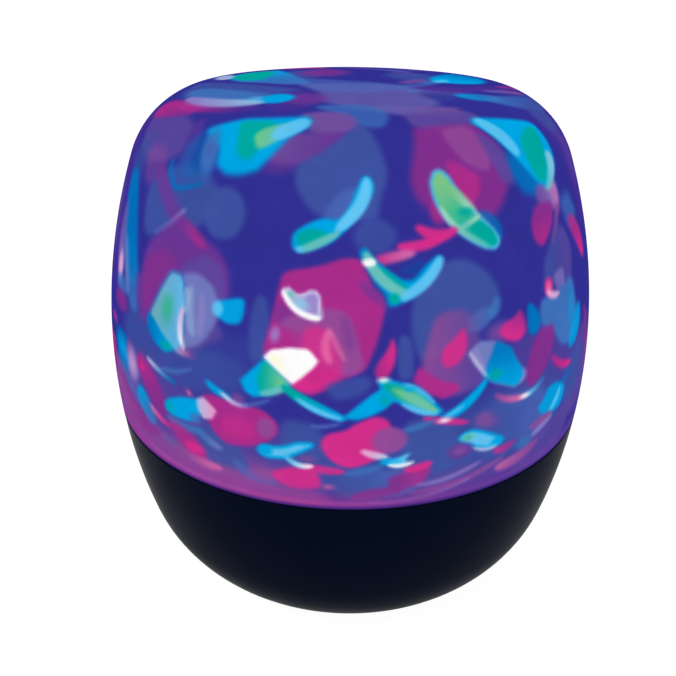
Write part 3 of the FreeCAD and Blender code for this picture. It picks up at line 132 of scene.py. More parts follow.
def mix(tree, factor, first, second):
    """A colour on the way from the first to the second, by a factor from 0 to 1."""
    node = add(tree, "ShaderNodeMix", {"Factor": factor, "A": first, "B": second}, data_type="RGBA")
    return node.outputs["Result"]


def new_material(name, **constants):
    """A material with one Principled shader. The constants are that shader's own plain settings."""
    material = bpy.data.materials.new(name)
    material.use_nodes = True
    tree = material.node_tree
    shader = tree.nodes["Principled BSDF"]
    for socket, value in constants.items():
        shader.inputs[socket.replace("_", " ")].default_value = value
    return material, tree, shader


def wire(tree, shader, **sources):
    """Joins outputs to the shader's sockets of these names."""
    for socket, source in sources.items():
        tree.links.new(source, shader.inputs[socket.replace("_", " ")])


print("white paint is", [round(v, 3) for v in paint(240, 240, 240)[:3]])


# %% [markdown]
# ## The room
#
# The lamp stands in a white room. A white background is a matter of colour, not of more light: the
# world and the floor each mix their lit look with plain white for the rays that come from the
# camera, a reflection or a refraction. More light would wash out the bowl as well.

# %% World
def seen_directly(tree):
    """1 for rays that see a thing as a background: from the camera, off gloss or through glass."""
    path = add(tree, "ShaderNodeLightPath")
    either = add(tree, "ShaderNodeMath", {0: path.outputs["Is Camera Ray"],
                                          1: path.outputs["Is Glossy Ray"]}, operation="MAXIMUM")
    any_of = add(tree, "ShaderNodeMath", {0: either.outputs[0],
                                          1: path.outputs["Is Transmission Ray"]}, operation="MAXIMUM")
    return any_of.outputs[0]


WORLD_LIGHT = 0.62
world = bpy.data.worlds.new("white studio")
world.use_nodes = True
bpy.context.scene.world = world
sky = world.node_tree
sky.nodes.clear()
plain = add(sky, "ShaderNodeBackground", {"Color": WHITE_LIGHT, "Strength": WORLD_LIGHT})
white = add(sky, "ShaderNodeBackground", {"Color": WHITE_LIGHT, "Strength": 1.0})
chosen = add(sky, "ShaderNodeMixShader",
             {0: seen_directly(sky), 1: plain.outputs[0], 2: white.outputs[0]})
add(sky, "ShaderNodeOutputWorld", {"Surface": chosen.outputs[0]})
print("world light:", WORLD_LIGHT)


# %% [markdown]
# ## The floor
#
# One very large square is a floor without an edge in view. It keeps part of its lit look, so the
# lamp's soft shadow stays. Seen from below it is clear, so that the feet and the battery door show.

# %% Floor
FLOOR_REACH = 12.0
FLOOR_LIT_SHARE = 0.16
FLOOR_GLOW = 1.12

corners = [(-FLOOR_REACH, -FLOOR_REACH, 0), (FLOOR_REACH, -FLOOR_REACH, 0),
           (FLOOR_REACH, FLOOR_REACH, 0), (-FLOOR_REACH, FLOOR_REACH, 0)]
floor_mesh = bpy.data.meshes.new("floor")
floor_mesh.from_pydata(corners, [], [(0, 1, 2, 3)])
floor = bpy.data.objects.new("floor", floor_mesh)
bpy.context.scene.collection.objects.link(floor)

floor_material, tree, shader = new_material("white sweep", Base_Color=paint(245, 245, 245),
                                            Roughness=1.0, Specular_IOR_Level=0.0)
glow = add(tree, "ShaderNodeEmission", {"Color": WHITE_LIGHT, "Strength": FLOOR_GLOW})
mixed = add(tree, "ShaderNodeMixShader",
            {0: 1 - FLOOR_LIT_SHARE, 1: shader.outputs[0], 2: glow.outputs[0]})
paths = add(tree, "ShaderNodeMixShader",
            {0: seen_directly(tree), 1: shader.outputs[0], 2: mixed.outputs[0]})
clear = add(tree, "ShaderNodeBsdfTransparent")
side = add(tree, "ShaderNodeNewGeometry")
two_sided = add(tree, "ShaderNodeMixShader",
                {0: side.outputs["Backfacing"], 1: paths.outputs[0], 2: clear.outputs[0]})
tree.links.new(two_sided.outputs[0], tree.nodes["Material Output"].inputs["Surface"])
floor.data.materials.append(floor_material)
print("floor", FLOOR_REACH * 2, "m square")


# %% [markdown]
# ## The lamps
#
# Most of the dome's look is its own light, so the room needs only enough to draw the bowl and the
# floor's shadow. Three large square area lamps give soft edges: a key from the front left, a fill
# from the front right, and one from behind that lifts the far rim.

# %% Lamps
def soft_light(name, place, size, power):
    """A square area lamp that looks at the middle of the object."""
    data = bpy.data.lights.new(name, "AREA")
    data.shape = "SQUARE"
    data.size = size
    data.energy = power
    lamp = bpy.data.objects.new(name, data)
    bpy.context.scene.collection.objects.link(lamp)
    aim = Vector((0, 0, LOOK_AT_HEIGHT)) - Vector(place)
    turned = aim.to_track_quat("-Z", "Y").to_matrix().to_4x4()
    lamp.matrix_world = Matrix.Translation(place) @ turned
    lamp.visible_camera = False
    lamp.visible_glossy = False


soft_light("key", (-0.9, -1.1, 1.5), size=1.0, power=11)
soft_light("fill", (1.3, -0.8, 0.8), size=1.2, power=6)
soft_light("back", (0.2, 1.3, 1.4), size=1.0, power=6)
print("three soft lamps")


# %% [markdown]
# ## The dome's outline
#
# The dome is turned: one outline, swept about the upright axis. The outline is three arcs that run
# smoothly into each other: a nearly flat crown, a tight shoulder, and a long bulging side. It could
# be drawn as a curve and spun with a Screw modifier, but the light patterns need to know where each
# point lies on the dome, so here the outline is a function. It takes the reach, the distance along
# the surface from the crown's centre, and gives the radius and the height there.

# %% Outline
CROWN_TOP = 124.0 * MM
CROWN_ARC = 262.0 * MM
SHOULDER_ARC = 22.5 * MM
SIDE_ARC = 141.5 * MM
WIDEST_RADIUS = 60.0 * MM
WIDEST_HEIGHT = 57.5 * MM
SEAM_HEIGHT = 47.0 * MM
DOME_WALL = 2.2 * MM

crown_centre = np.array([0.0, CROWN_TOP - CROWN_ARC])
side_centre = np.array([WIDEST_RADIUS - SIDE_ARC, WIDEST_HEIGHT])
# The shoulder's centre lies CROWN_ARC - SHOULDER_ARC from the one and SIDE_ARC - SHOULDER_ARC from
# the other, so it is where two circles meet.
span = side_centre - crown_centre
apart = math.hypot(*span)
to_crown = CROWN_ARC - SHOULDER_ARC
to_side = SIDE_ARC - SHOULDER_ARC
along = (to_crown ** 2 - to_side ** 2 + apart ** 2) / (2 * apart)
off = math.sqrt(to_crown ** 2 - along ** 2)
shoulder_centre = crown_centre + (span * along + np.array([span[1], -span[0]]) * off) / apart

CROWN_ANGLE = math.atan2(*(shoulder_centre - crown_centre))
SIDE_ANGLE = math.atan2(*(shoulder_centre - side_centre)[::-1])
SEAM_ANGLE = math.asin((SEAM_HEIGHT - WIDEST_HEIGHT) / SIDE_ARC)
CROWN_LENGTH = CROWN_ARC * CROWN_ANGLE
SHOULDER_LENGTH = SHOULDER_ARC * (math.pi / 2 - CROWN_ANGLE - SIDE_ANGLE)
SIDE_LENGTH = SIDE_ARC * (SIDE_ANGLE - SEAM_ANGLE)
DOME_REACH = CROWN_LENGTH + SHOULDER_LENGTH + SIDE_LENGTH


def outline(reach, inset=0.0):
    """Radius and height at a reach. On each arc of radius R about centre c, at angle a above level,
    they are c + (R - inset) * (cos a, sin a), and the angle falls by (length / R) along the arc."""
    reach = np.asarray(reach, float)
    on_crown = math.pi / 2 - reach / CROWN_ARC
    on_shoulder = math.pi / 2 - CROWN_ANGLE - (reach - CROWN_LENGTH) / SHOULDER_ARC
    on_side = SIDE_ANGLE - (reach - CROWN_LENGTH - SHOULDER_LENGTH) / SIDE_ARC
    first = reach <= CROWN_LENGTH
    last = reach > CROWN_LENGTH + SHOULDER_LENGTH
    angle = np.where(first, on_crown, np.where(last, on_side, on_shoulder))
    size = np.where(first, CROWN_ARC, np.where(last, SIDE_ARC, SHOULDER_ARC)) - inset
    centre = [np.where(first, crown_centre[i], np.where(last, side_centre[i], shoulder_centre[i]))
              for i in (0, 1)]
    return centre[0] + size * np.cos(angle), centre[1] + size * np.sin(angle)


def place(turn, reach):
    """A point of the dome: turned by turn degrees from the front, x = r sin t, y = -r cos t."""
    radius, height = outline(reach)
    angle = np.radians(turn)
    return np.stack([radius * np.sin(angle), -radius * np.cos(angle), height + 0 * angle], axis=-1)


print("arcs in mm:", [round(v / MM, 1) for v in (CROWN_LENGTH, SHOULDER_LENGTH, SIDE_LENGTH)])


# %% [markdown]
# ## The dome's rows and columns
#
# The skin is a grid of turn and reach. Its columns are closer together at the front and its rows
# closer below the crown, where the pattern is finer. The inside needs only a few rows, because
# nothing is drawn on it for its own sake.

# %% Columns and rows
COLUMNS = 384
CROWN_ROWS = 42
OUTER_ROWS = 178
INNER_ROWS = 16
FRONT_FINENESS = 0.4
FINE_FROM = 34.0 * MM
RIM_ROUND = 0.35 * MM
INSIDE_FROM = 1.5 * MM

even_steps = np.linspace(-1, 1, COLUMNS, endpoint=False)
turns = 180 * (even_steps - FRONT_FINENESS / math.pi * np.sin(math.pi * even_steps))

outer_reach = np.concatenate([np.linspace(0, FINE_FROM, CROWN_ROWS, endpoint=False),
                              np.linspace(FINE_FROM, DOME_REACH - RIM_ROUND, OUTER_ROWS)])
outer_radius, outer_height = outline(outer_reach)
inner_reach = np.linspace(DOME_REACH - INSIDE_FROM, 0, INNER_ROWS)
inner_radius, inner_height = outline(inner_reach, DOME_WALL)
print("rows:", len(outer_reach), "outside,", len(inner_reach), "inside, in", COLUMNS, "columns")


# %% [markdown]
# ## The dome's rim
#
# The outline goes on past the seam: under the rim, down the spigot that drops into the bowl and
# holds the dome in place, and back up the inside, so the wall has a real thickness. Nine points are
# enough for it, with small cuts at the corners, because a moulded corner is never quite sharp. The
# first and last points of the whole profile lie on the axis, where one point closes each pole.

# %% Rim and spigot
SPIGOT_OUTER = 56.7 * MM
SPIGOT_INNER = 54.9 * MM
SPIGOT_BOTTOM = 43.5 * MM
SMALL_CUT, LARGE_CUT = 0.1 * MM, 0.3 * MM

seam_radius = float(outline(DOME_REACH)[0])
rim = np.array([
    (seam_radius - RIM_ROUND * 0.3, SEAM_HEIGHT + RIM_ROUND * 0.3),
    (seam_radius - RIM_ROUND, SEAM_HEIGHT),
    (SPIGOT_OUTER + SMALL_CUT, SEAM_HEIGHT),
    (SPIGOT_OUTER, SEAM_HEIGHT - SMALL_CUT),
    (SPIGOT_OUTER, SPIGOT_BOTTOM + LARGE_CUT),
    (SPIGOT_OUTER - LARGE_CUT, SPIGOT_BOTTOM),
    (SPIGOT_INNER + LARGE_CUT, SPIGOT_BOTTOM),
    (SPIGOT_INNER, SPIGOT_BOTTOM + LARGE_CUT),
    (SPIGOT_INNER, SEAM_HEIGHT - SMALL_CUT),
])
profile_radius = np.concatenate([outer_radius, rim[:, 0], inner_radius])
profile_height = np.concatenate([outer_height, rim[:, 1], inner_height])
profile_reach = np.concatenate([outer_reach, np.full(len(rim), DOME_REACH), inner_reach])
RINGS = len(profile_reach) - 2


def over_grid(rings, columns):
    """Values for every point of the grid: a value of each ring times one of each column, between
    the zeros of the two poles."""
    return np.concatenate([[0.0], np.outer(rings, columns).ravel(), [0.0]])


grid_reach = over_grid(profile_reach[1:-1], np.ones(COLUMNS))
grid_turn = over_grid(np.ones(RINGS), turns)
print("dome:", len(grid_turn), "points,", round(seam_radius / MM, 2), "mm at the seam")


# %% [markdown]
# ## Light on the dome
#
# Light from the facets lands on the dome in three kinds of mark. A flat facet throws a soft-edged
# polygon, a curved edge throws a bent streak that is brighter along its rim, and the lens's round
# face throws a wide disc. They overlap like sheets of coloured glass. Images could hold them, but
# marks worked out on the skin itself stay sharp at any distance and wrap all the way round.
#
# Marks are laid over each other from the bottom up. Places are given as (turn, reach): degrees from
# the front, and millimetres down from the crown's centre. A mark's last two plain numbers are its
# strength and the softness of its edge in millimetres. Its colour, and its strength, is one value,
# or a pair that runs from one end of the mark to the other.

# %% The lamp's colours
NIGHT, VIOLET = (49, 48, 146), (72, 46, 146)
DUSK, SLATE, HAZE, STEEL = (54, 66, 152), (62, 83, 160), (76, 106, 184), (62, 118, 188)
INDIGO, HEATHER, PURPLE = (92, 72, 156), (98, 92, 168), (110, 54, 148)
THISTLE, FOG = (116, 80, 156), (114, 128, 192)
PLUM, MAUVE, MAGENTA = (136, 46, 140), (146, 76, 152), (174, 44, 137)
PINK, ROSE, BLUSH = (218, 46, 138), (232, 110, 168), (236, 176, 216)
DEEP, BLUE, AZURE, CYAN = (0, 88, 168), (0, 116, 190), (0, 140, 206), (0, 164, 226)
AQUA, ICE, POWDER = (80, 186, 222), (96, 196, 242), (140, 208, 236)
TEAL, JADE, GREEN, SAGE = (0, 166, 156), (52, 178, 142), (124, 198, 136), (108, 192, 186)
MINT, PEARL = (176, 216, 188), (164, 204, 230)
LILAC, MIST, WHITE, CREAM = (156, 134, 204), (204, 206, 236), (252, 252, 252), (255, 252, 220)
RIM_ROSE, RIM_VIOLET, SEAM_BLUE = (156, 60, 148), (106, 68, 158), (40, 26, 104)
print("ground colour:", NIGHT)


# %% [markdown]
# ## Three kinds of mark
#
# A mark is a small dictionary with what it takes to draw it. Each kind has a function that fills
# one in, so that the lists further down need only a line or two for each mark.

# %% Streak, facet and disc
def streak(line, width, colour, strength, soft, belly=0.5, blunt=0.35, rim=None):
    """A bent streak through three places. Its half width is width at belly and falls to blunt of
    that at its ends. Its colour and strength may run from end to end."""
    return dict(kind="streak", line=line, width=width, colour=colour, strength=strength, soft=soft,
                belly=belly, blunt=blunt, rim=rim)


def facet(line, colour, strength, soft, lean=0.0, rim=None, cut=0.2):
    """A polygon with these corners, rounded by cut. Its colour and strength may run across it,
    towards lean: 0 is to the right and 90 is down."""
    return dict(kind="facet", line=line, colour=colour, strength=strength, soft=soft, lean=lean,
                rim=rim, cut=cut)


def disc(middle, across, down, colour, strength, soft, tilt=0.0):
    """An ellipse of these half sizes, tilted clockwise by tilt. Its colour and strength may run from
    the middle to the edge."""
    return dict(kind="disc", line=[middle], across=across, down=down, colour=colour,
                strength=strength, soft=soft, tilt=tilt, rim=None)


def smooth(low, high, value):
    """The smooth step: 0 below low, 1 above high, and 3s^2 - 2s^3 between, for
    s = (value - low) / (high - low)."""
    s = np.clip((value - low) / (high - low), 0, 1)
    return s * s * (3 - 2 * s)


print("a smooth step halfway:", float(smooth(0, 1, 0.5)))


# %% [markdown]
# ## How deep a point lies in a mark
#
# Each kind of mark has a function that measures every point of the skin against it at once. It
# gives the depth, the distance inside the mark's edge in metres, and how far along the mark the
# point lies, from 0 to 1. The depth decides how strongly the mark shows, and the place along it
# decides the colour.

# %% Streaks
STREAK_POINTS = 15
OUTSIDE = -1.0


def measure_streak(mark, points):
    """Depth inside the streak, and how far along it. The line is the quadratic through its three
    places on a flat map of the dome; the depth is the half width there less the distance to it."""
    t = np.linspace(0, 1, STREAK_POINTS)
    weights = np.stack([2 * (t - 0.5) * (t - 1), 4 * t * (1 - t), 2 * t * (t - 0.5)], axis=-1)
    turn, reach = np.array(mark["line"], float).T
    angle = np.radians(turn)
    flat = weights @ np.stack([reach * np.sin(angle), reach * np.cos(angle)], axis=-1)
    line = place(np.degrees(np.arctan2(flat[:, 0], flat[:, 1])), np.hypot(*flat.T) * MM)
    best = np.full(len(points), OUTSIDE)
    where = np.zeros(len(points))
    for k in range(len(t) - 1):
        step = line[k + 1] - line[k]
        s = np.clip((points - line[k]) @ step / (step @ step), 0, 1)
        at = t[k] + s * (t[k + 1] - t[k])
        rise = np.where(at < mark["belly"], at / mark["belly"], (1 - at) / (1 - mark["belly"]))
        half = mark["width"] * (mark["blunt"] + (1 - mark["blunt"]) * np.sqrt(1 - (1 - rise) ** 2))
        depth = half * MM - np.linalg.norm(points - line[k] - s[:, None] * step, axis=1)
        where = np.where(depth > best, at, where)
        best = np.maximum(best, depth)
    return best, where


print("a streak is", STREAK_POINTS - 1, "short runs")


# %% [markdown]
# ## Depth in a facet and in a disc
#
# These two kinds are wide rather than long, so they are measured on the flat plane that touches the
# dome at their middle. The dome leaves that plane only slowly, and a flat polygon or ellipse is much
# simpler to measure than one on a curved skin.

# %% Facets and discs
NUDGE = 0.05 * MM
FAR_AWAY = 9.0
TINY = 1e-12


def axes_at(turn, reach):
    """The surface's own directions at a place: right along a level ring, and down the outline."""
    angle = math.radians(turn)
    right = np.array([math.cos(angle), math.sin(angle), 0.0])
    step = place(turn, reach + NUDGE) - place(turn, reach - NUDGE)
    return right, step / np.linalg.norm(step)


def rounded(line, cut):
    """The polygon with each corner cut off twice, at this share of its sides."""
    corners = np.array(line, float)
    for _ in range(2):
        after = np.roll(corners, -1, axis=0)
        corners = np.stack([corners + cut * (after - corners), after - cut * (after - corners)], axis=1)
        corners = corners.reshape(-1, 2)
    return corners


def measure_facet(mark, points):
    """Depth inside the rounded polygon, and how far across it, on the plane that touches the dome
    at its middle. The depth is the distance to the nearest side, and it is negative outside."""
    turn, reach = rounded(mark["line"], mark["cut"]).T
    corners = place(turn, reach * MM)
    middle = corners.mean(axis=0)
    right, down = axes_at(turn.mean(), reach.mean() * MM)
    flat = np.stack([(corners - middle) @ right, (corners - middle) @ down], axis=-1)
    uv = np.stack([(points - middle) @ right, (points - middle) @ down], axis=-1)
    nearest = np.full(len(points), FAR_AWAY)
    inside = np.zeros(len(points), bool)
    for a, b in zip(flat, np.roll(flat, -1, axis=0)):
        side = b - a
        s = np.clip((uv - a) @ side / (side @ side), 0, 1)
        nearest = np.minimum(nearest, np.linalg.norm(uv - a - s[:, None] * side, axis=1))
        crosses = (a[1] > uv[:, 1]) != (b[1] > uv[:, 1])
        inside ^= crosses & (uv[:, 0] < side[0] * (uv[:, 1] - a[1]) / (side[1] + TINY) + a[0])
    lean = math.radians(mark["lean"])
    across = np.array([math.cos(lean), math.sin(lean)])
    run = flat @ across
    return np.where(inside, nearest, -nearest), (uv @ across - run.min()) / (run.max() - run.min())


def measure_disc(mark, points):
    """Depth inside the ellipse, and how far out: with q the place in half sizes, the depth is
    (1 - |q|) of the smaller half size."""
    turn, reach = mark["line"][0]
    right, down = axes_at(turn, reach * MM)
    tilt = math.radians(mark["tilt"])
    long = math.cos(tilt) * right + math.sin(tilt) * down
    short = math.cos(tilt) * down - math.sin(tilt) * right
    away = points - place(turn, reach * MM)
    q = np.hypot(away @ long / (mark["across"] * MM), away @ short / (mark["down"] * MM))
    return (1 - q) * min(mark["across"], mark["down"]) * MM, q


MEASURES = {"streak": measure_streak, "facet": measure_facet, "disc": measure_disc}
print("kinds of mark:", ", ".join(MEASURES))


# %% [markdown]
# ## Laying the marks
#
# Only the points near a mark need measuring, which keeps hundreds of marks quick. Each mark then
# pulls the colour of the points inside it towards its own. An edge that is sharper than the gap
# between two points would come out as a saw, so the softness is never less than that gap allows.

# %% Lay the marks
RIM_DEPTH, RIM_FULL = 1.1 * MM, 0.25 * MM
SHARPEST = 1.6
BEND_ROOM = 1.25


def size_of(mark):
    """A mark's middle on the dome and the distance within which it matters."""
    turn, reach = np.array(mark["line"], float).T
    spots = place(turn, reach * MM)
    middle = spots.mean(axis=0)
    far = np.linalg.norm(spots - middle, axis=1).max()
    extra = max(mark.get("width", 0), mark.get("across", 0), mark.get("down", 0)) + mark["soft"]
    return middle, far * BEND_ROOM + extra * MM


def pull(colour, towards, amount):
    """The colour moved by this amount of the way: colour + (towards - colour) * amount."""
    return colour + (towards - colour) * amount


def lay(marks, points, spacing, colour):
    """Lays the marks over the colour of each point. Each pulls it towards the mark's colour by its
    strength times a smooth step of the depth over the mark's softness."""
    for mark in marks:
        middle, far = size_of(mark)
        near = np.flatnonzero(np.linalg.norm(points - middle, axis=1) < far)
        depth, along = MEASURES[mark["kind"]](mark, points[near])
        along = smooth(0, 1, along)[:, None]
        first, second = np.broadcast_to(np.array(mark["colour"], float), (2, 3))
        shade = pull(first, second, along)
        if mark["rim"] is not None:
            shade = pull(shade, np.array(mark["rim"]), 1 - smooth(RIM_FULL, RIM_DEPTH, depth)[:, None])
        low, high = np.broadcast_to(mark["strength"], 2)
        soft = np.maximum(mark["soft"] * MM, SHARPEST * spacing[near])
        amount = pull(low, high, along) * smooth(-soft / 2, soft / 2, depth)[:, None]
        colour[near] = pull(colour[near], shade, amount)
    return colour


print("an edge is at least", SHARPEST, "gaps between points wide")


# %% [markdown]
# ## Where the light lands
#
# The next cells list the marks, from broad and faint to small and bright, since what comes later
# lies on top. The crown comes first. The lens stands right under it, and its light spreads wide
# there, so these patches are the largest.

# %% Marks on the crown
crown_marks = [
    disc((178, 22), 15, 6.5, (HEATHER, INDIGO), 0.7, 6),
    disc((140, 33), 7, 4, SLATE, 0.7, 3),
    disc((-150, 34), 8, 4.5, (PLUM, PURPLE), 0.7, 4),
    disc((105, 12), 6, 3, PURPLE, 0.6, 3),
    streak([(200, 27), (180, 31), (158, 27)], 1.8, (BLUE, STEEL), 0.7, 2.4),
    facet([(-34, 20), (-10, 17), (15, 17), (32, 21), (29, 28), (30, 35), (22, 38.6), (10, 38), (-10, 34),
           (-13, 27), (-24, 22)], HEATHER, 0.85, 3),
    facet([(-55, 14.5), (-30, 13), (-5, 13.4), (15, 15), (32, 19.5), (30, 24), (8, 25.8), (-14, 25),
           (-28, 22)], HAZE, 0.6, 3),
    disc((34, 26), 4, 3.4, HEATHER, 0.6, 3),
    disc((43, 28.5), 5, 3.6, INDIGO, 0.7, 3),
    disc((36, 21.5), 4, 1.8, HAZE, 0.6, 2),
    disc((75, 14), 7, 6, SLATE, 0.7, 4),
    disc((-80, 12), 8, 5, SLATE, 0.8, 3),
    disc((-90, 6.5), 8, 6, (PLUM, PURPLE), 0.8, 4),
    facet([(-86, 34), (-66, 27), (-40, 24), (-22, 25), (-26, 33), (-44, 38.4), (-72, 40)], SLATE, 0.85, 3.5),
    streak([(-68, 37), (-50, 34.2), (-33, 32.4)], 3.4, STEEL, 0.8, 3),
    facet([(-30, 26), (-16, 25), (-11, 36), (-20, 39.5), (-27, 37)], VIOLET, 0.7, 2.4),
    disc((-16.5, 31.5), 4.4, 3.8, PURPLE, 0.75, 3),
    facet([(-88, 28.6), (-68, 26.2), (-55, 23), (-38, 21.6), (-26, 18.8), (-38, 15.8), (-55, 14.2),
           (-85, 13.5), (-120, 19), (-112, 27.5)], (CYAN, STEEL), (1, 0.8), 1.8),
    facet([(-90, 28.4), (-72, 25.6), (-66, 21.6), (-84, 17.5), (-118, 21), (-110, 27.4)], TEAL, 0.95, 2),
    streak([(-104, 31), (-96, 30.2), (-86, 29)], 2.2, (PEARL, MIST), 0.8, 1.8),
    disc((54, 20.6), 3.4, 1.8, STEEL, 0.75, 2),
    streak([(36, 18.4), (48, 17.6), (62, 18)], 1.7, THISTLE, 0.75, 2.2),
    facet([(58, 20), (72, 18), (92, 19), (108, 23), (118, 28), (104, 31), (88, 31), (76, 29), (66, 25.4)],
          (CYAN, BLUE), 1, 1.8),
    streak([(60, 21), (66, 21.4), (73, 21.6)], 1.3, ICE, 0.7, 1.4),
    streak([(38, 24), (54, 28.6), (74, 34)], 2.4, VIOLET, 0.9, 2, blunt=0.6),
    disc((36, 31), 4.4, 3.4, DUSK, 0.6, 3),
    streak([(76, 33), (84, 36), (94, 38.6)], 1.4, PLUM, 0.85, 1.5),
    streak([(60, 32.4), (70, 35.6), (80, 39)], 1.2, (HEATHER, MAUVE), 0.8, 1.4),
    facet([(50, 34.6), (60, 36), (80, 40), (88, 44), (76, 45.4), (60, 41.8), (50, 38)], (STEEL, SLATE), 0.75,
          2.2),
    streak([(42.5, 32.2), (49, 34.6), (56, 36.8)], 2.3, (CYAN, STEEL), 0.75, 1.8, belly=0.4),
    disc((29.5, 25.6), 1.8, 1.2, STEEL, 0.6, 1.8),
    streak([(8, 36.2), (20, 38), (34, 38.8)], 1.9, (HEATHER, THISTLE), 0.85, 1.8),
    facet([(-13, 35.6), (0, 34.4), (8, 36), (10.4, 39), (8, 42.8), (2, 42.4), (-2, 39.4)], STEEL, 0.65, 1.8),
    streak([(33, 38.4), (46, 40.6), (62, 43.6)], 1.4, NIGHT, 0.85, 1.6),
    streak([(-40, 36), (-34, 34.6), (-28, 33.4)], 1.8, STEEL, 0.8, 1.6),
    facet([(140, 24), (165, 17), (-170, 22), (-178, 31), (155, 30)], (STEEL, INDIGO), 0.8, 2.4),
    facet([(-165, 16), (-140, 12), (-128, 22), (-150, 28)], (PLUM, MAGENTA), 0.9, 1.6),
    streak([(112, 14), (150, 11), (-172, 13)], 1.5, (STEEL, PURPLE), 0.8, 1.4, belly=0.4),
]
print("crown marks:", len(crown_marks))


# %% [markdown]
# ## Washes
#
# Light that has bounced inside the dome comes back wide and weak. Washes of it go under the sharp
# marks, so that the blue between them isn't one flat colour.

# %% Broad washes under the front's marks
wash_marks = [
    facet([(58, 42), (76, 44), (84, 58), (82, 74), (66, 72), (62, 54)], VIOLET, 0.8, 6),
    facet([(64, 46), (72, 47), (74, 60), (66, 62)], INDIGO, 0.5, 5),
    facet([(-84, 46), (-70, 46), (-62, 64), (-64, 86), (-84, 86)], VIOLET, 0.8, 6),
    facet([(-80, 62), (-70, 60), (-66, 72), (-72, 82), (-80, 80)], INDIGO, 0.6, 5),
    disc((-46, 90), 10, 7, SLATE, 0.75, 5),
    disc((-24, 90), 11, 7, DUSK, 0.7, 5),
    disc((44, 92), 15, 9, INDIGO, 0.6, 6),
    disc((-44, 103), 17, 9, INDIGO, 0.75, 7),
    disc((-20, 108), 20, 7, INDIGO, 0.7, 6),
    disc((34, 104), 20, 9, SLATE, 0.75, 7),
    disc((8, 110), 20, 6, SLATE, 0.75, 5),
    disc((-25, 111.5), 13, 3, MAUVE, 0.7, 4),
    disc((22, 113), 12, 2.6, INDIGO, 0.7, 3),
    streak([(-64, 100), (-58, 108), (-46, 114)], 3.5, PLUM, 0.6, 4),
    facet([(56, 92), (68, 90), (70, 106), (60, 112), (52, 112), (54, 104)], INDIGO, 0.8, 4),
    facet([(38, 110), (56, 106), (54, 117), (34, 118)], INDIGO, 0.75, 3.5),
    facet([(-68, 104), (-54, 108), (-40, 110), (-22, 112.6), (-4, 114), (-4, 119), (-70, 119)], MAUVE, 0.8,
          3.5),
    facet([(-30, 103), (-22, 105), (-18, 112), (-32, 112)], SLATE, 0.85, 2.4),
    facet([(-13, 98), (-5, 99), (-4, 107), (-12, 109)], SLATE, 0.85, 2.4),
    facet([(9, 98), (20, 99), (22, 110), (10, 113)], SLATE, 0.95, 2.2),
    facet([(24, 98), (42, 97), (46, 109), (26, 112)], (SLATE, HAZE), 0.7, 2.6),
    facet([(50, 96), (62, 94), (60, 106), (51, 108)], SLATE, 0.8, 2.4),
    facet([(-66, 100), (-52, 101), (-44, 107), (-42, 113), (-60, 114)], (MAUVE, PLUM), 0.7, 2.6),
]
print("washes:", len(wash_marks))


# %% [markdown]
# ## The left shoulder
#
# The shoulder is where the outline turns most tightly. On the left a cyan leaf with a green core
# lies across it, over a round blue spot. The leaf is a facet, and its core and its bright edge are
# smaller marks laid on it.

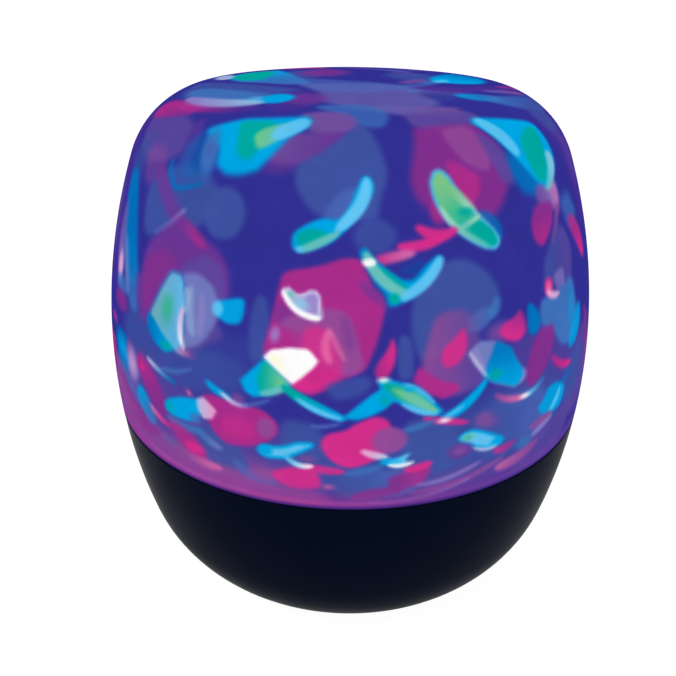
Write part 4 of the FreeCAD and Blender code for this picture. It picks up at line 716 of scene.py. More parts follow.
# %% Marks on the left shoulder
left_shoulder_marks = [
    facet([(-72, 46), (-60, 43), (-44, 44), (-42, 53), (-60, 56)], INDIGO, 0.85, 2.4),
    facet([(-58, 52), (-48, 51), (-45, 58), (-54, 60)], MAUVE, 0.45, 3),
    facet([(-52, 59), (-41, 53), (-30, 55), (-27, 60), (-33, 65), (-38, 66), (-50, 70)], SLATE, 0.9, 2.4),
    streak([(-43, 44), (-41, 49), (-40, 54)], 1.8, PURPLE, 0.5, 2),
    streak([(-73, 45), (-62, 42.8), (-50, 41.6)], 2.8, (MAGENTA, PLUM), 0.95, 2.2, belly=0.3),
    streak([(-58, 41.6), (-43, 40.1), (-28, 37.9)], 1.4, (MAGENTA, VIOLET), 0.95, 1.8, blunt=0.5),
    streak([(-62, 39.3), (-45, 38), (-29, 35.4)], 1.7, (LILAC, PEARL), 0.8, 1.7),
    disc((-31, 34.2), 3, 1.7, ICE, 0.55, 2),
    disc((-26.4, 32.4), 3.2, 3.2, CYAN, 1, 1.8),
    disc((-62, 41.7), 2.6, 1.1, PINK, 0.35, 2),
    facet([(-15, 39), (-7, 37.6), (0, 38.6), (2.6, 43.5), (-9, 45)], THISTLE, 0.9, 1.8),
    facet([(-16, 44.6), (-2, 43.4), (0, 46), (-4, 50.5), (-15, 51.5), (-20, 50)], (THISTLE, PURPLE), 0.85, 2),
    disc((-16, 51.5), 3, 1.5, PURPLE, 0.5, 2),
    facet([(-11.8, 51), (-7, 48.5), (-1, 44), (2, 41.5), (5, 44), (7.2, 50), (7.6, 53), (5.8, 57), (5.2, 61),
           (-6.5, 60), (-9.5, 57.5), (-11.6, 54.5)], SLATE, 0.95, 1.8),
    disc((-26.5, 61), 4.6, 4.8, SLATE, 0.9, 1.6),
    facet([(-42, 49), (-38, 45), (-31, 45), (-31, 54), (-37, 56), (-42, 55)], BLUE, 0.45, 4),
    facet([(-38.5, 45.6), (-34.6, 43.6), (-29, 41.6), (-22, 40.8), (-17, 40.2), (-12, 39.7), (-10.2, 41),
           (-11, 43), (-14.5, 45), (-16.4, 47.8), (-18.4, 50.4), (-20.2, 52.6), (-24, 53.8), (-27.6, 54),
           (-30.6, 52.6), (-31.6, 49), (-35, 48)], CYAN, 1, 2.0, cut=0.15),
    disc((-34, 50), 1.9, 4.8, (HAZE, STEEL), 0.85, 1.8, tilt=-14),
    facet([(-30, 42.4), (-20, 41.5), (-19, 44), (-21, 48), (-23, 51), (-26.5, 50), (-28, 46)], TEAL, 0.95,
          1.8),
    facet([(-24, 45.6), (-22, 43.6), (-16.5, 41.8), (-13.5, 42), (-17.5, 46.7), (-21.5, 48.8)], (GREEN, SAGE),
          0.85, 1.4),
    streak([(-18, 45), (-15, 43.2), (-12.2, 41.5)], 1.8, ICE, 0.9, 1.2, blunt=0.6),
    streak([(-43, 58.4), (-38.5, 57.8), (-33, 56.4)], 0.5, BLUE, 0.75, 1.1),
    streak([(-44.4, 53.4), (-43.6, 56.2), (-41, 58)], 0.8, BLUE, 0.7, 1.3),
    streak([(-48, 56), (-43.5, 60), (-38, 64.5)], 2.0, PURPLE, 0.75, 2.2, blunt=0.7),
    streak([(-45.6, 67.8), (-41, 65.4), (-36.8, 61.8)], 0.6, (HAZE, LILAC), 0.75, 1.0, belly=0.7),
    disc((-61, 56), 4, 6, SLATE, 0.6, 4),
    streak([(-61.4, 59.5), (-57.4, 68.5), (-52.8, 79)], 3.8, BLUE, 0.92, 2.6, blunt=0.5),
    streak([(-55, 74), (-52.6, 79), (-51, 84.4)], 3.0, (BLUE, STEEL), 0.75, 2.6, blunt=0.5),
    streak([(-58.6, 72), (-56.2, 78), (-54.4, 83)], 1.3, FOG, 0.75, 2.2),
    streak([(-49.4, 78), (-48, 82), (-46.6, 86)], 2.0, PURPLE, 0.7, 2.4),
]
print("left shoulder marks:", len(left_shoulder_marks))


# %% [markdown]
# ## The right shoulder
#
# A second leaf bends down over this side, beside a plum-coloured patch. Overlapping patches look
# like coloured glass when the place where they cross gets a mark of its own, a shade between the
# two.

# %% Marks on the right shoulder
right_shoulder_marks = [
    facet([(14, 38.5), (24, 39), (33, 38.8), (37, 40.5), (35, 44), (24, 44.5), (15.5, 43)], INDIGO, 0.9, 1.8),
    facet([(15, 43), (24, 42.5), (33, 43), (37, 49), (36, 56), (32, 61), (24, 64), (18, 61), (13, 57),
           (12, 53.5), (14.6, 46)], PLUM, 0.9, 2.4),
    facet([(22, 43.5), (31, 43), (33, 50), (31, 53.5), (26, 51.5), (23, 48)], MAUVE, 0.75, 1.6),
    facet([(31.5, 45), (35.5, 47), (38.5, 52), (38, 56.5), (34, 56), (32, 50)], INDIGO, 0.9, 1.8),
    facet([(20.5, 50.5), (23, 50.8), (28.4, 54), (27.6, 57), (25, 59.4), (22, 57.5)], MAGENTA, 0.95, 1.6,
          lean=60),
    disc((17.6, 59.6), 1.6, 2.2, MAGENTA, 0.8, 2),
    facet([(37.4, 50), (43, 52), (48, 58.6), (44, 59.6), (40, 58.6), (37.6, 55.6)], BLUE, 0.85, 2.8),
    facet([(60, 41), (76, 41.6), (72, 50), (62, 49)], SLATE, 0.7, 3),
    facet([(44, 57.5), (53, 57), (53.4, 62.5), (48, 63.4), (43.6, 61)], (THISTLE, LILAC), 0.85, 1.8),
    streak([(50, 58.4), (51.6, 60.6), (51.6, 64)], 1.6, ROSE, 0.4, 1.8),
    facet([(32.2, 42.4), (34.4, 41.2), (46, 42.8), (56, 45), (57, 49.5), (56.4, 53), (54.4, 56), (51.4, 58.4),
           (48.4, 58.6), (45, 57), (41.4, 53), (38.6, 49.6), (36, 46)], CYAN, 1, 1.5),
    facet([(51, 45.6), (55, 46.4), (53.4, 50), (51.8, 54), (49, 57.6), (45.8, 57), (43.8, 52), (45, 48)],
          TEAL, 0.95, 1.5),
    streak([(34.8, 42.1), (39, 46.2), (41.6, 50.8)], 1.7, ICE, 0.9, 1.2),
    facet([(52.4, 51.8), (55, 52), (55.4, 54.4), (53.4, 57.2), (49.8, 59.6), (47.8, 59), (49.6, 57.2),
           (51.4, 54.8)], (SAGE, PEARL), 0.8, 1.4),
    facet([(53, 62), (59, 61), (63, 67), (56, 69)], STEEL, 0.65, 3),
    facet([(42.4, 61.2), (49.8, 61.4), (49, 65.2), (44, 69.8), (41.2, 68.4), (40.4, 65)], (PLUM, MAGENTA),
          0.95, 1.6, lean=90),
    streak([(51, 62.5), (50, 66), (47, 69.6)], 0.8, MAUVE, 0.7, 1.3),
    streak([(57, 67), (61, 71), (64, 76)], 2.3, (MAGENTA, PINK), 0.85, 1.8),
    disc((4.6, 63.4), 3.8, 3, SLATE, 0.75, 1.8),
]
print("right shoulder marks:", len(right_shoulder_marks))


# %% [markdown]
# ## Round the middle, on the left
#
# Half way down, the marks get smaller and brighter. A streak has only one bend, so a curl, such as
# the one near the front, is a facet with many corners instead.

# %% Marks round the middle, left half
middle_left_marks = [
    facet([(-48, 71), (-42, 66), (-38, 63.5), (-31.5, 65.6), (-26.5, 68), (-24, 71), (-23.2, 77), (-30, 80),
           (-38, 84), (-47, 86), (-49, 80)], PURPLE, 0.95, 2.4),
    facet([(-47.5, 73), (-41, 70), (-36, 72), (-42, 78), (-44, 84), (-47.5, 84)], PLUM, 0.7, 2.4),
    streak([(-38, 63.6), (-35, 65), (-30.5, 67.8)], 1.2, (PURPLE, MAGENTA), 0.8, 1.8),
    streak([(-62, 66), (-61.5, 74), (-60, 82)], 2.4, (HEATHER, LILAC), 0.75, 2.6),
    disc((-60.4, 78.6), 1.7, 3.0, BLUSH, 0.8, 2.0),
    disc((-58.5, 82.4), 3.6, 2.0, STEEL, 0.75, 2),
    disc((-58.6, 86), 4.4, 2.3, PLUM, 0.8, 2),
    facet([(-38, 90), (-28, 87), (-20, 88), (-20, 94), (-30, 97), (-40, 96)], SLATE, 0.6, 3),
    facet([(-36.5, 73), (-30, 69), (-25.5, 70.5), (-24, 76), (-26, 81), (-24, 84), (-28, 86.5), (-33, 90),
           (-36, 88)], INDIGO, 0.8, 1.8),
    facet([(-35.5, 73.8), (-31, 72.8), (-26.4, 75), (-25.6, 81), (-28.6, 86), (-33, 88.6), (-35.6, 88)], FOG,
          0.85, 1.6, lean=20),
    streak([(-32.4, 76), (-32.6, 80.5), (-31.5, 85)], 1.2, PEARL, 0.4, 1.5),
    streak([(-29.6, 77), (-29.4, 81), (-29.8, 85)], 0.8, LILAC, 0.5, 1.4),
    facet([(-38.6, 73.6), (-35, 73.6), (-33.8, 76), (-33.2, 80), (-33.6, 87), (-34.6, 90), (-39, 90),
           (-42.4, 88), (-45.4, 86), (-43.8, 82.4), (-41.4, 78)], (SAGE, ICE), 0.85, 1.4, rim=STEEL,
          cut=0.15),
    disc((-38.6, 81.6), 1.6, 2.8, JADE, 0.85, 2.4, tilt=10),
    facet([(-45.2, 84.2), (-43, 84.6), (-39.8, 87.2), (-36.2, 89.4), (-39, 90.9), (-42.4, 89.9),
           (-44.8, 87.4)], (BLUE, CYAN), 1, 1.1, cut=0.1),
    disc((-38.6, 89.4), 1.6, 0.9, TEAL, 0.8, 1.2),
    streak([(-34.1, 80.4), (-34.8, 84.6), (-33.6, 89)], 0.65, (BLUSH, WHITE), 0.9, 1.0),
    disc((-34, 89.4), 1.5, 0.6, MIST, 0.75, 1.0),
    streak([(-33.6, 76.4), (-33.2, 78.6), (-33.6, 81)], 0.5, PEARL, 0.6, 1.2),
    facet([(-26.6, 77.8), (-24.6, 76.8), (-20, 75.6), (-20.1, 79.4), (-21, 80.9), (-23, 81.3), (-24.8, 80.8),
           (-26.4, 79.8)], CYAN, 0.95, 1.2),
    disc((-25.8, 78.7), 1.2, 1.5, ICE, 0.9, 1.2),
    facet([(-17.6, 74.5), (-15.4, 75.5), (-14.8, 80), (-15.8, 87), (-18.6, 88), (-19, 80)], SLATE, 0.8, 1.6),
    facet([(-3, 56), (1, 54.5), (2, 58), (-2, 62), (-6, 60.5)], HAZE, 0.7, 1.6),
    facet([(2.4, 52.6), (3.9, 52.9), (4.8, 54.6), (3.9, 56.6), (2, 59.1), (-0.5, 61.9), (-3.4, 64.4),
           (-6.8, 65.8), (-9.8, 66.7), (-11.3, 65.6), (-11.4, 63.8), (-10.6, 62.6), (-8, 61.1), (-5.5, 60.2),
           (-2.4, 60.6), (-0.4, 58.4), (0.8, 55.6)], CYAN, 1, 1.1),
    facet([(-10.8, 63.2), (-7.6, 62), (-4, 62.8), (-5.4, 65), (-9.8, 66)], TEAL, 0.95, 1.2),
    streak([(3.1, 53.6), (1.7, 58), (-2.4, 62)], 1.2, ICE, 1, 1.0, blunt=0.5),
    streak([(-9.8, 66.1), (-6.4, 64.8), (-2.4, 62.8)], 0.8, SAGE, 0.9, 0.9),
    disc((-9.8, 65.9), 0.8, 0.5, ICE, 0.9, 0.8),
]
print("marks in the middle, left:", len(middle_left_marks))


# %% [markdown]
# ## Round the middle, on the right
#
# Here thin bright streaks lie over round red and blue spots. A streak or a facet with a rim turns to
# the rim's colour within about a millimetre of its edge, as light does at the edge of a lens.

# %% Marks round the middle, right half
middle_right_marks = [
    facet([(12, 73), (16, 69), (22, 68), (27, 71), (30, 75), (29.6, 79), (24, 82), (13, 88), (11, 80)], SLATE,
          0.95, 1.8),
    facet([(8.8, 81), (11.4, 82), (11.8, 90), (8.6, 90)], SLATE, 0.85, 1.2),
    facet([(44, 71), (51.6, 66), (56, 72), (54, 80), (48, 79), (42, 78)], (SLATE, INDIGO), 0.8, 2),
    facet([(46, 76), (50.5, 75), (51, 79.6), (47.5, 80)], LILAC, 0.5, 1.4),
    facet([(41.2, 79.6), (46, 80.2), (50, 79), (54.5, 78), (56, 84), (56.6, 90), (52.4, 92.4), (48.6, 92),
           (45.6, 88), (42.6, 86.4), (40.6, 84)], STEEL, 0.9, 1.6),
    facet([(16, 78), (22.6, 77.4), (25, 84), (28, 88), (27, 93), (20, 95), (13, 92), (13.2, 87), (14.6, 82)],
          (MAUVE, INDIGO), 0.85, 2),
    streak([(27, 60.6), (30.4, 63), (31, 66)], 1.0, BLUE, 0.7, 1.5),
    streak([(18.6, 53.6), (22, 60.2), (29.4, 66)], 2.8, (GREEN, TEAL), 1, 1.1, blunt=0.6, rim=AQUA),
    streak([(20.6, 55.2), (23.2, 57.8), (25.8, 60.2)], 0.9, (GREEN, MINT), 0.8, 1.2),
    disc((23.6, 60), 1.6, 0.7, TEAL, 0.9, 1.0),
    streak([(22, 62.8), (24.4, 62.1), (26.8, 61)], 0.6, (SAGE, MINT), 0.85, 0.9),
    facet([(23.6, 63), (26.8, 61.8), (30, 64.4), (30.2, 66.8), (27, 66.2)], TEAL, 0.9, 1.0),
    streak([(18.2, 58.8), (21.8, 63), (28, 66.6)], 0.6, (MINT, SAGE), 0.8, 0.9),
    streak([(13, 62), (17, 63.7), (21, 63)], 1.1, PINK, 0.95, 1.2, belly=0.5),
    streak([(9.4, 65.3), (14, 65.2), (18.4, 64)], 1.0, PINK, 0.95, 1.1, blunt=0.5),
    streak([(3.8, 68), (7.4, 67.2), (12, 66.6)], 1.0, (PINK, ROSE), 0.85, 1.2),
    disc((1, 68.3), 1.5, 0.9, PINK, 0.85, 1.2),
    facet([(8.6, 69.5), (14, 67.6), (14.6, 70), (11.5, 71)], DEEP, 0.4, 1.6),
    streak([(1.4, 67.8), (3.8, 72.2), (7, 76.2)], 1.0, DUSK, 0.8, 1.2),
    facet([(1.4, 66.2), (2.6, 65.1), (4, 66.6), (6.4, 68.9), (8, 70), (10, 71.3), (12, 71.2), (14.2, 68.9),
           (16.6, 67.2), (17.8, 67.4), (17.6, 68.8), (15.4, 71.6), (12.6, 74), (10, 75.4), (7.6, 76.2),
           (6.8, 75.4), (6.6, 74), (4.8, 71.8), (3, 69)], CYAN, 1, 1.1, rim=AZURE),
    streak([(5.6, 69.4), (7.6, 71.6), (10.4, 73.2)], 1.2, TEAL, 0.9, 1.1),
    streak([(3, 66.6), (5.9, 71), (10.6, 74)], 1.0, SAGE, 0.95, 0.9, blunt=0.6),
    facet([(6.8, 74), (8.6, 73.4), (9.6, 75), (7.8, 75.8)], TEAL, 0.95, 0.9),
    streak([(17.2, 68.2), (14.2, 71.8), (10, 74.4)], 1.1, ICE, 0.95, 1.0, blunt=0.7),
    facet([(1.9, 67.5), (4.2, 67.1), (4.9, 68), (4.4, 68.6), (2.4, 68.8)], WHITE, 1, 0.8),
    streak([(29.2, 77), (28.8, 78.6), (28, 80)], 1.1, STEEL, 0.8, 1.4),
    facet([(29, 78.6), (27.6, 81), (25, 82.8), (22.2, 82), (22.6, 79.6), (25.6, 78)], (HEATHER, STEEL), 0.75,
          1.3),
    disc((44.2, 77.9), 1.5, 1.9, (ROSE, PINK), 0.95, 1.2),
    streak([(43.6, 78.8), (45.4, 79.9), (47.8, 80.2)], 0.8, BLUSH, 0.9, 1.1),
    facet([(37, 79.4), (39, 80.2), (40.6, 82.4), (41, 84.4), (40, 86.2), (38, 86.5), (37, 85)], BLUE, 0.95,
          1.2),
    disc((53.4, 85.6), 1.5, 4.4, CYAN, 0.45, 2),
    streak([(57.4, 86), (56, 90), (53, 92.6)], 2.3, CYAN, 0.8, 1.8, belly=0.7),
    disc((29.6, 83.6), 3.4, 2.3, (MAUVE, INDIGO), 0.75, 1.8),
    facet([(35, 80.1), (36.2, 82.4), (36.5, 85.2), (34.4, 86.6), (31.4, 85.8), (29.2, 83.6), (30.6, 82),
           (33.2, 81.5)], (MAGENTA, PINK), 0.95, 1.3, lean=110),
    facet([(41, 85.6), (45.6, 86), (45.4, 90), (43, 94.4), (39, 97.6), (36.8, 97), (36.6, 93), (38, 88.4)],
          PLUM, 0.9, 1.8),
    streak([(45, 93.2), (48.8, 96.2), (53.2, 97.4)], 0.95, (MAGENTA, PINK), 0.95, 1.2, blunt=0.5),
    streak([(53.4, 99), (51.4, 100.2), (48.8, 100.6)], 0.5, BLUE, 0.7, 1.0),
    facet([(21.7, 80.8), (22.4, 84), (21.8, 86.4), (20.2, 88.2), (18, 88.8), (16.8, 87), (17.3, 84.6),
           (19.4, 83.2)], PINK, 0.88, 1.3),
    facet([(12.6, 87.6), (16.8, 91), (20.4, 92.2), (20.7, 93.5), (17.4, 94.9), (14.5, 93.2), (11.4, 90.4)],
          MAGENTA, 0.95, 1.2, cut=0.1),
    facet([(22.5, 86.2), (25, 84.4), (28, 85), (30, 86), (32.2, 87.4), (33.5, 90), (35.2, 92.3), (36.2, 93.9),
           (35, 95.6), (33.4, 96.1), (30.5, 94.8), (27.8, 93.5), (25.8, 91.2), (24, 88.8)], FOG, 0.95, 1.1,
          cut=0.12),
    facet([(25.4, 91.4), (27.4, 88), (28.6, 85.2), (30.2, 86), (32.4, 87.2), (33.6, 89.8), (35.4, 92.4),
           (36, 94), (34.8, 95.4), (33.2, 95.8), (30.6, 94.6), (27.8, 93.4)], (BLUE, CYAN), 0.97, 1.2,
          lean=90, cut=0.12),
    streak([(24, 85.8), (24.6, 88), (26, 90.4)], 0.9, LILAC, 0.5, 1.2),
    streak([(22.7, 86.3), (24.4, 89), (26.6, 92)], 0.4, MIST, 0.8, 0.9),
    disc((28.6, 92), 1.5, 1.0, TEAL, 0.9, 1.6),
    streak([(35.6, 92.8), (36, 94.2), (35, 95.4)], 0.6, LILAC, 0.7, 1.0),
    streak([(62, 88), (64.5, 93), (63, 97)], 1.4, PLUM, 0.85, 1.6),
]
print("marks in the middle, right:", len(middle_right_marks))


# %% [markdown]
# ## The front
#
# The strongest light lands at the front, a little left of the middle, in one white corner of a pink
# patch. White is kept for a few small marks, because beside it every colour looks deeper.

# %% Marks at the front, where the light is strongest
front_marks = [
    facet([(-12.8, 70), (-6, 68.8), (-1, 67), (2, 67.6), (3.4, 70.6), (4, 72.4), (5.8, 74), (6.5, 75.6),
           (6, 78.5), (5, 82.5), (3.6, 86.2), (2.6, 88), (-1, 89.6), (-4, 91.8), (-6.9, 93.2), (-8.6, 92.6),
           (-11.5, 91), (-16.4, 86), (-14.8, 80), (-13.6, 74)], MAGENTA, 0.95, 1.3),
    facet([(1.6, 70.6), (5.4, 73.6), (6.2, 76), (4.4, 75), (2, 73)], PURPLE, 0.7, 1.4),
    facet([(-13.6, 75.5), (-11.6, 76), (-9, 78), (-12, 80), (-14.2, 79.5)], PURPLE, 0.6, 1.6),
    facet([(-13.8, 79), (-5, 76.2), (-0.8, 76.6), (0.8, 79.4), (2.1, 84.6), (2.7, 87.6), (-1, 89.4),
           (-9, 84)], MAUVE, 0.9, 1.4),
    facet([(-1.6, 77.4), (0, 78.4), (1.2, 83.5), (-0.4, 84), (-1.4, 80)], PURPLE, 0.45, 1.6),
    facet([(-8.4, 80), (-5, 79.4), (-3, 82), (-1.6, 86), (-1.2, 88.6), (-4, 91.2), (-8, 92.6), (-11, 90.6),
           (-9, 84)], PINK, 0.75, 1.8),
    facet([(-12, 80), (-9, 81), (-8, 83.4), (-14, 83.8)], MAGENTA, 0.7, 1.6),
    disc((-8, 91.3), 2.4, 1.2, PINK, 0.8, 1.4),
    streak([(-3.7, 80.2), (-4.4, 83.4), (-3.5, 86.4)], 0.85, ROSE, 0.75, 1.1, belly=0.7),
    streak([(-3.6, 80.4), (-2.5, 82.8), (-0.9, 86)], 0.6, ROSE, 0.6, 1.0, belly=0.3),
    facet([(-12.7, 73.2), (-11.5, 72.7), (-10, 73.9), (-8.8, 73.8), (-7.3, 73), (-6.1, 73.2), (-5.4, 74.2),
           (-5.2, 76.3), (-5, 78.1), (-5.7, 78.6), (-7.1, 78.5), (-9, 77.5), (-11.4, 75.9), (-12.8, 74.2)],
          (PEARL, LILAC), 0.95, 0.9, rim=MIST, cut=0.08),
    disc((-9, 75.8), 1.5, 1.0, POWDER, 0.7, 1.2),
    disc((-11, 74.1), 0.8, 0.6, SAGE, 0.8, 0.9),
    disc((-7, 74.8), 1.1, 1.0, LILAC, 0.6, 1.2),
    streak([(-12.4, 73.8), (-9.8, 77), (-5.7, 78.2)], 0.55, WHITE, 1, 0.8, blunt=0.7, belly=0.9),
    disc((-13.8, 81.8), 0.9, 1.5, LILAC, 0.8, 1.4, tilt=10),
    facet([(7.8, 81.4), (8.5, 84.4), (8, 87.2), (6.9, 89.2), (5, 89.6), (4.4, 88.2), (5, 86.4), (6.7, 84.2)],
          (MAGENTA, PINK), 0.97, 1.1),
    facet([(-4.5, 90.8), (0, 89.4), (3, 88.8), (4.4, 90.6), (2, 93), (-3, 94)], SLATE, 0.75, 1.8),
    facet([(-15.5, 86.4), (-20.6, 91.8), (-19.6, 93.8), (-17.8, 94.8), (-15, 94.1), (-12.3, 92.5),
           (-10.6, 91.3), (-12, 89.6)], CYAN, 1, 1.1, cut=0.1),
    facet([(-15.6, 86.8), (-17.4, 91), (-16.4, 93.6), (-13, 92.4), (-11, 91)], (TEAL, GREEN), 0.95, 1.4,
          cut=0.1),
    streak([(-16.4, 93.8), (-13.6, 93), (-11, 91.5)], 0.7, SAGE, 0.9, 1.0),
    streak([(-12, 91.8), (-6.8, 95), (-1, 97.6)], 1.1, (TEAL, CYAN), 1, 0.9, blunt=0.4),
    streak([(-9.5, 93.9), (-5.6, 96.2), (-1.4, 97.6)], 0.55, ICE, 0.95, 0.8),
    facet([(-1.2, 97.5), (0, 96.2), (3.5, 93), (5.2, 91.8), (6.6, 91.2), (8.2, 93.8), (6.6, 95.6), (4, 97),
           (1.6, 97.8)], CYAN, 1, 1.1, cut=0.1),
    facet([(5.6, 92), (8, 92.6), (7.4, 94.8), (5.6, 95)], TEAL, 0.7, 1.4),
    facet([(5, 90.2), (6.6, 89.5), (10.3, 90.8), (12.3, 91.8), (14.6, 94), (16.3, 95.8), (17.5, 97.3),
           (16.4, 98.2), (14.2, 97.6), (10, 95.2), (7.3, 93.9), (5.8, 92)], (TEAL, GREEN), 1, 1.1, rim=CYAN,
          cut=0.1),
    facet([(7, 91.4), (10.6, 92), (14.4, 95.4), (15.2, 97), (10.6, 94.6)], (GREEN, SAGE), 0.8, 1.2),
    streak([(10, 91), (12.6, 92.2), (15.6, 95.2)], 0.5, ICE, 0.8, 0.9),
    streak([(9.6, 94.8), (13, 96.8), (16.2, 97.6)], 0.6, ICE, 0.9, 0.9),
    disc((11, 92), 1.1, 0.5, CYAN, 0.8, 0.8),
    disc((6.1, 89.8), 1.0, 0.5, WHITE, 0.9, 0.8),
    facet([(-16, 86.4), (-14.5, 84.8), (-11, 84), (-7.8, 84), (-7, 84.5), (-5.6, 86.2), (-6.4, 87.5),
           (-8.6, 89.7), (-10.4, 91.2)], WHITE, 1, 0.8, cut=0.06),
    facet([(-15.2, 86), (-12.6, 85.4), (-12, 88), (-11.4, 89.8)], CREAM, 0.8, 1.0),
    streak([(17.2, 98.9), (21.8, 97), (26.4, 92.8)], 1.05, CYAN, 1, 0.9),
    streak([(17.6, 98.8), (19.6, 98), (21.6, 96.9)], 0.4, ICE, 0.8, 0.8),
    streak([(13.8, 98.4), (18, 99.6), (22.6, 100.8)], 0.75, PINK, 0.9, 1.0),
    disc((17.8, 99.4), 1.2, 0.5, WHITE, 0.9, 0.9),
    streak([(28.8, 96.4), (32.2, 98.3), (36.8, 99)], 0.75, (MAUVE, ROSE), 0.95, 1.0),
    streak([(36.6, 98.9), (39.4, 98.3), (42, 96.8)], 0.6, (ICE, STEEL), 0.95, 0.9),
    disc((36.4, 98.9), 1.2, 0.5, WHITE, 0.95, 0.9),
]
print("front marks:", len(front_marks))


# %% [markdown]
# ## Low down
#
# Near the seam the light meets the wall at a low angle again, and the marks lie flat, side by side
# along the rim. They are small, so each needs only a little softness at its edge.

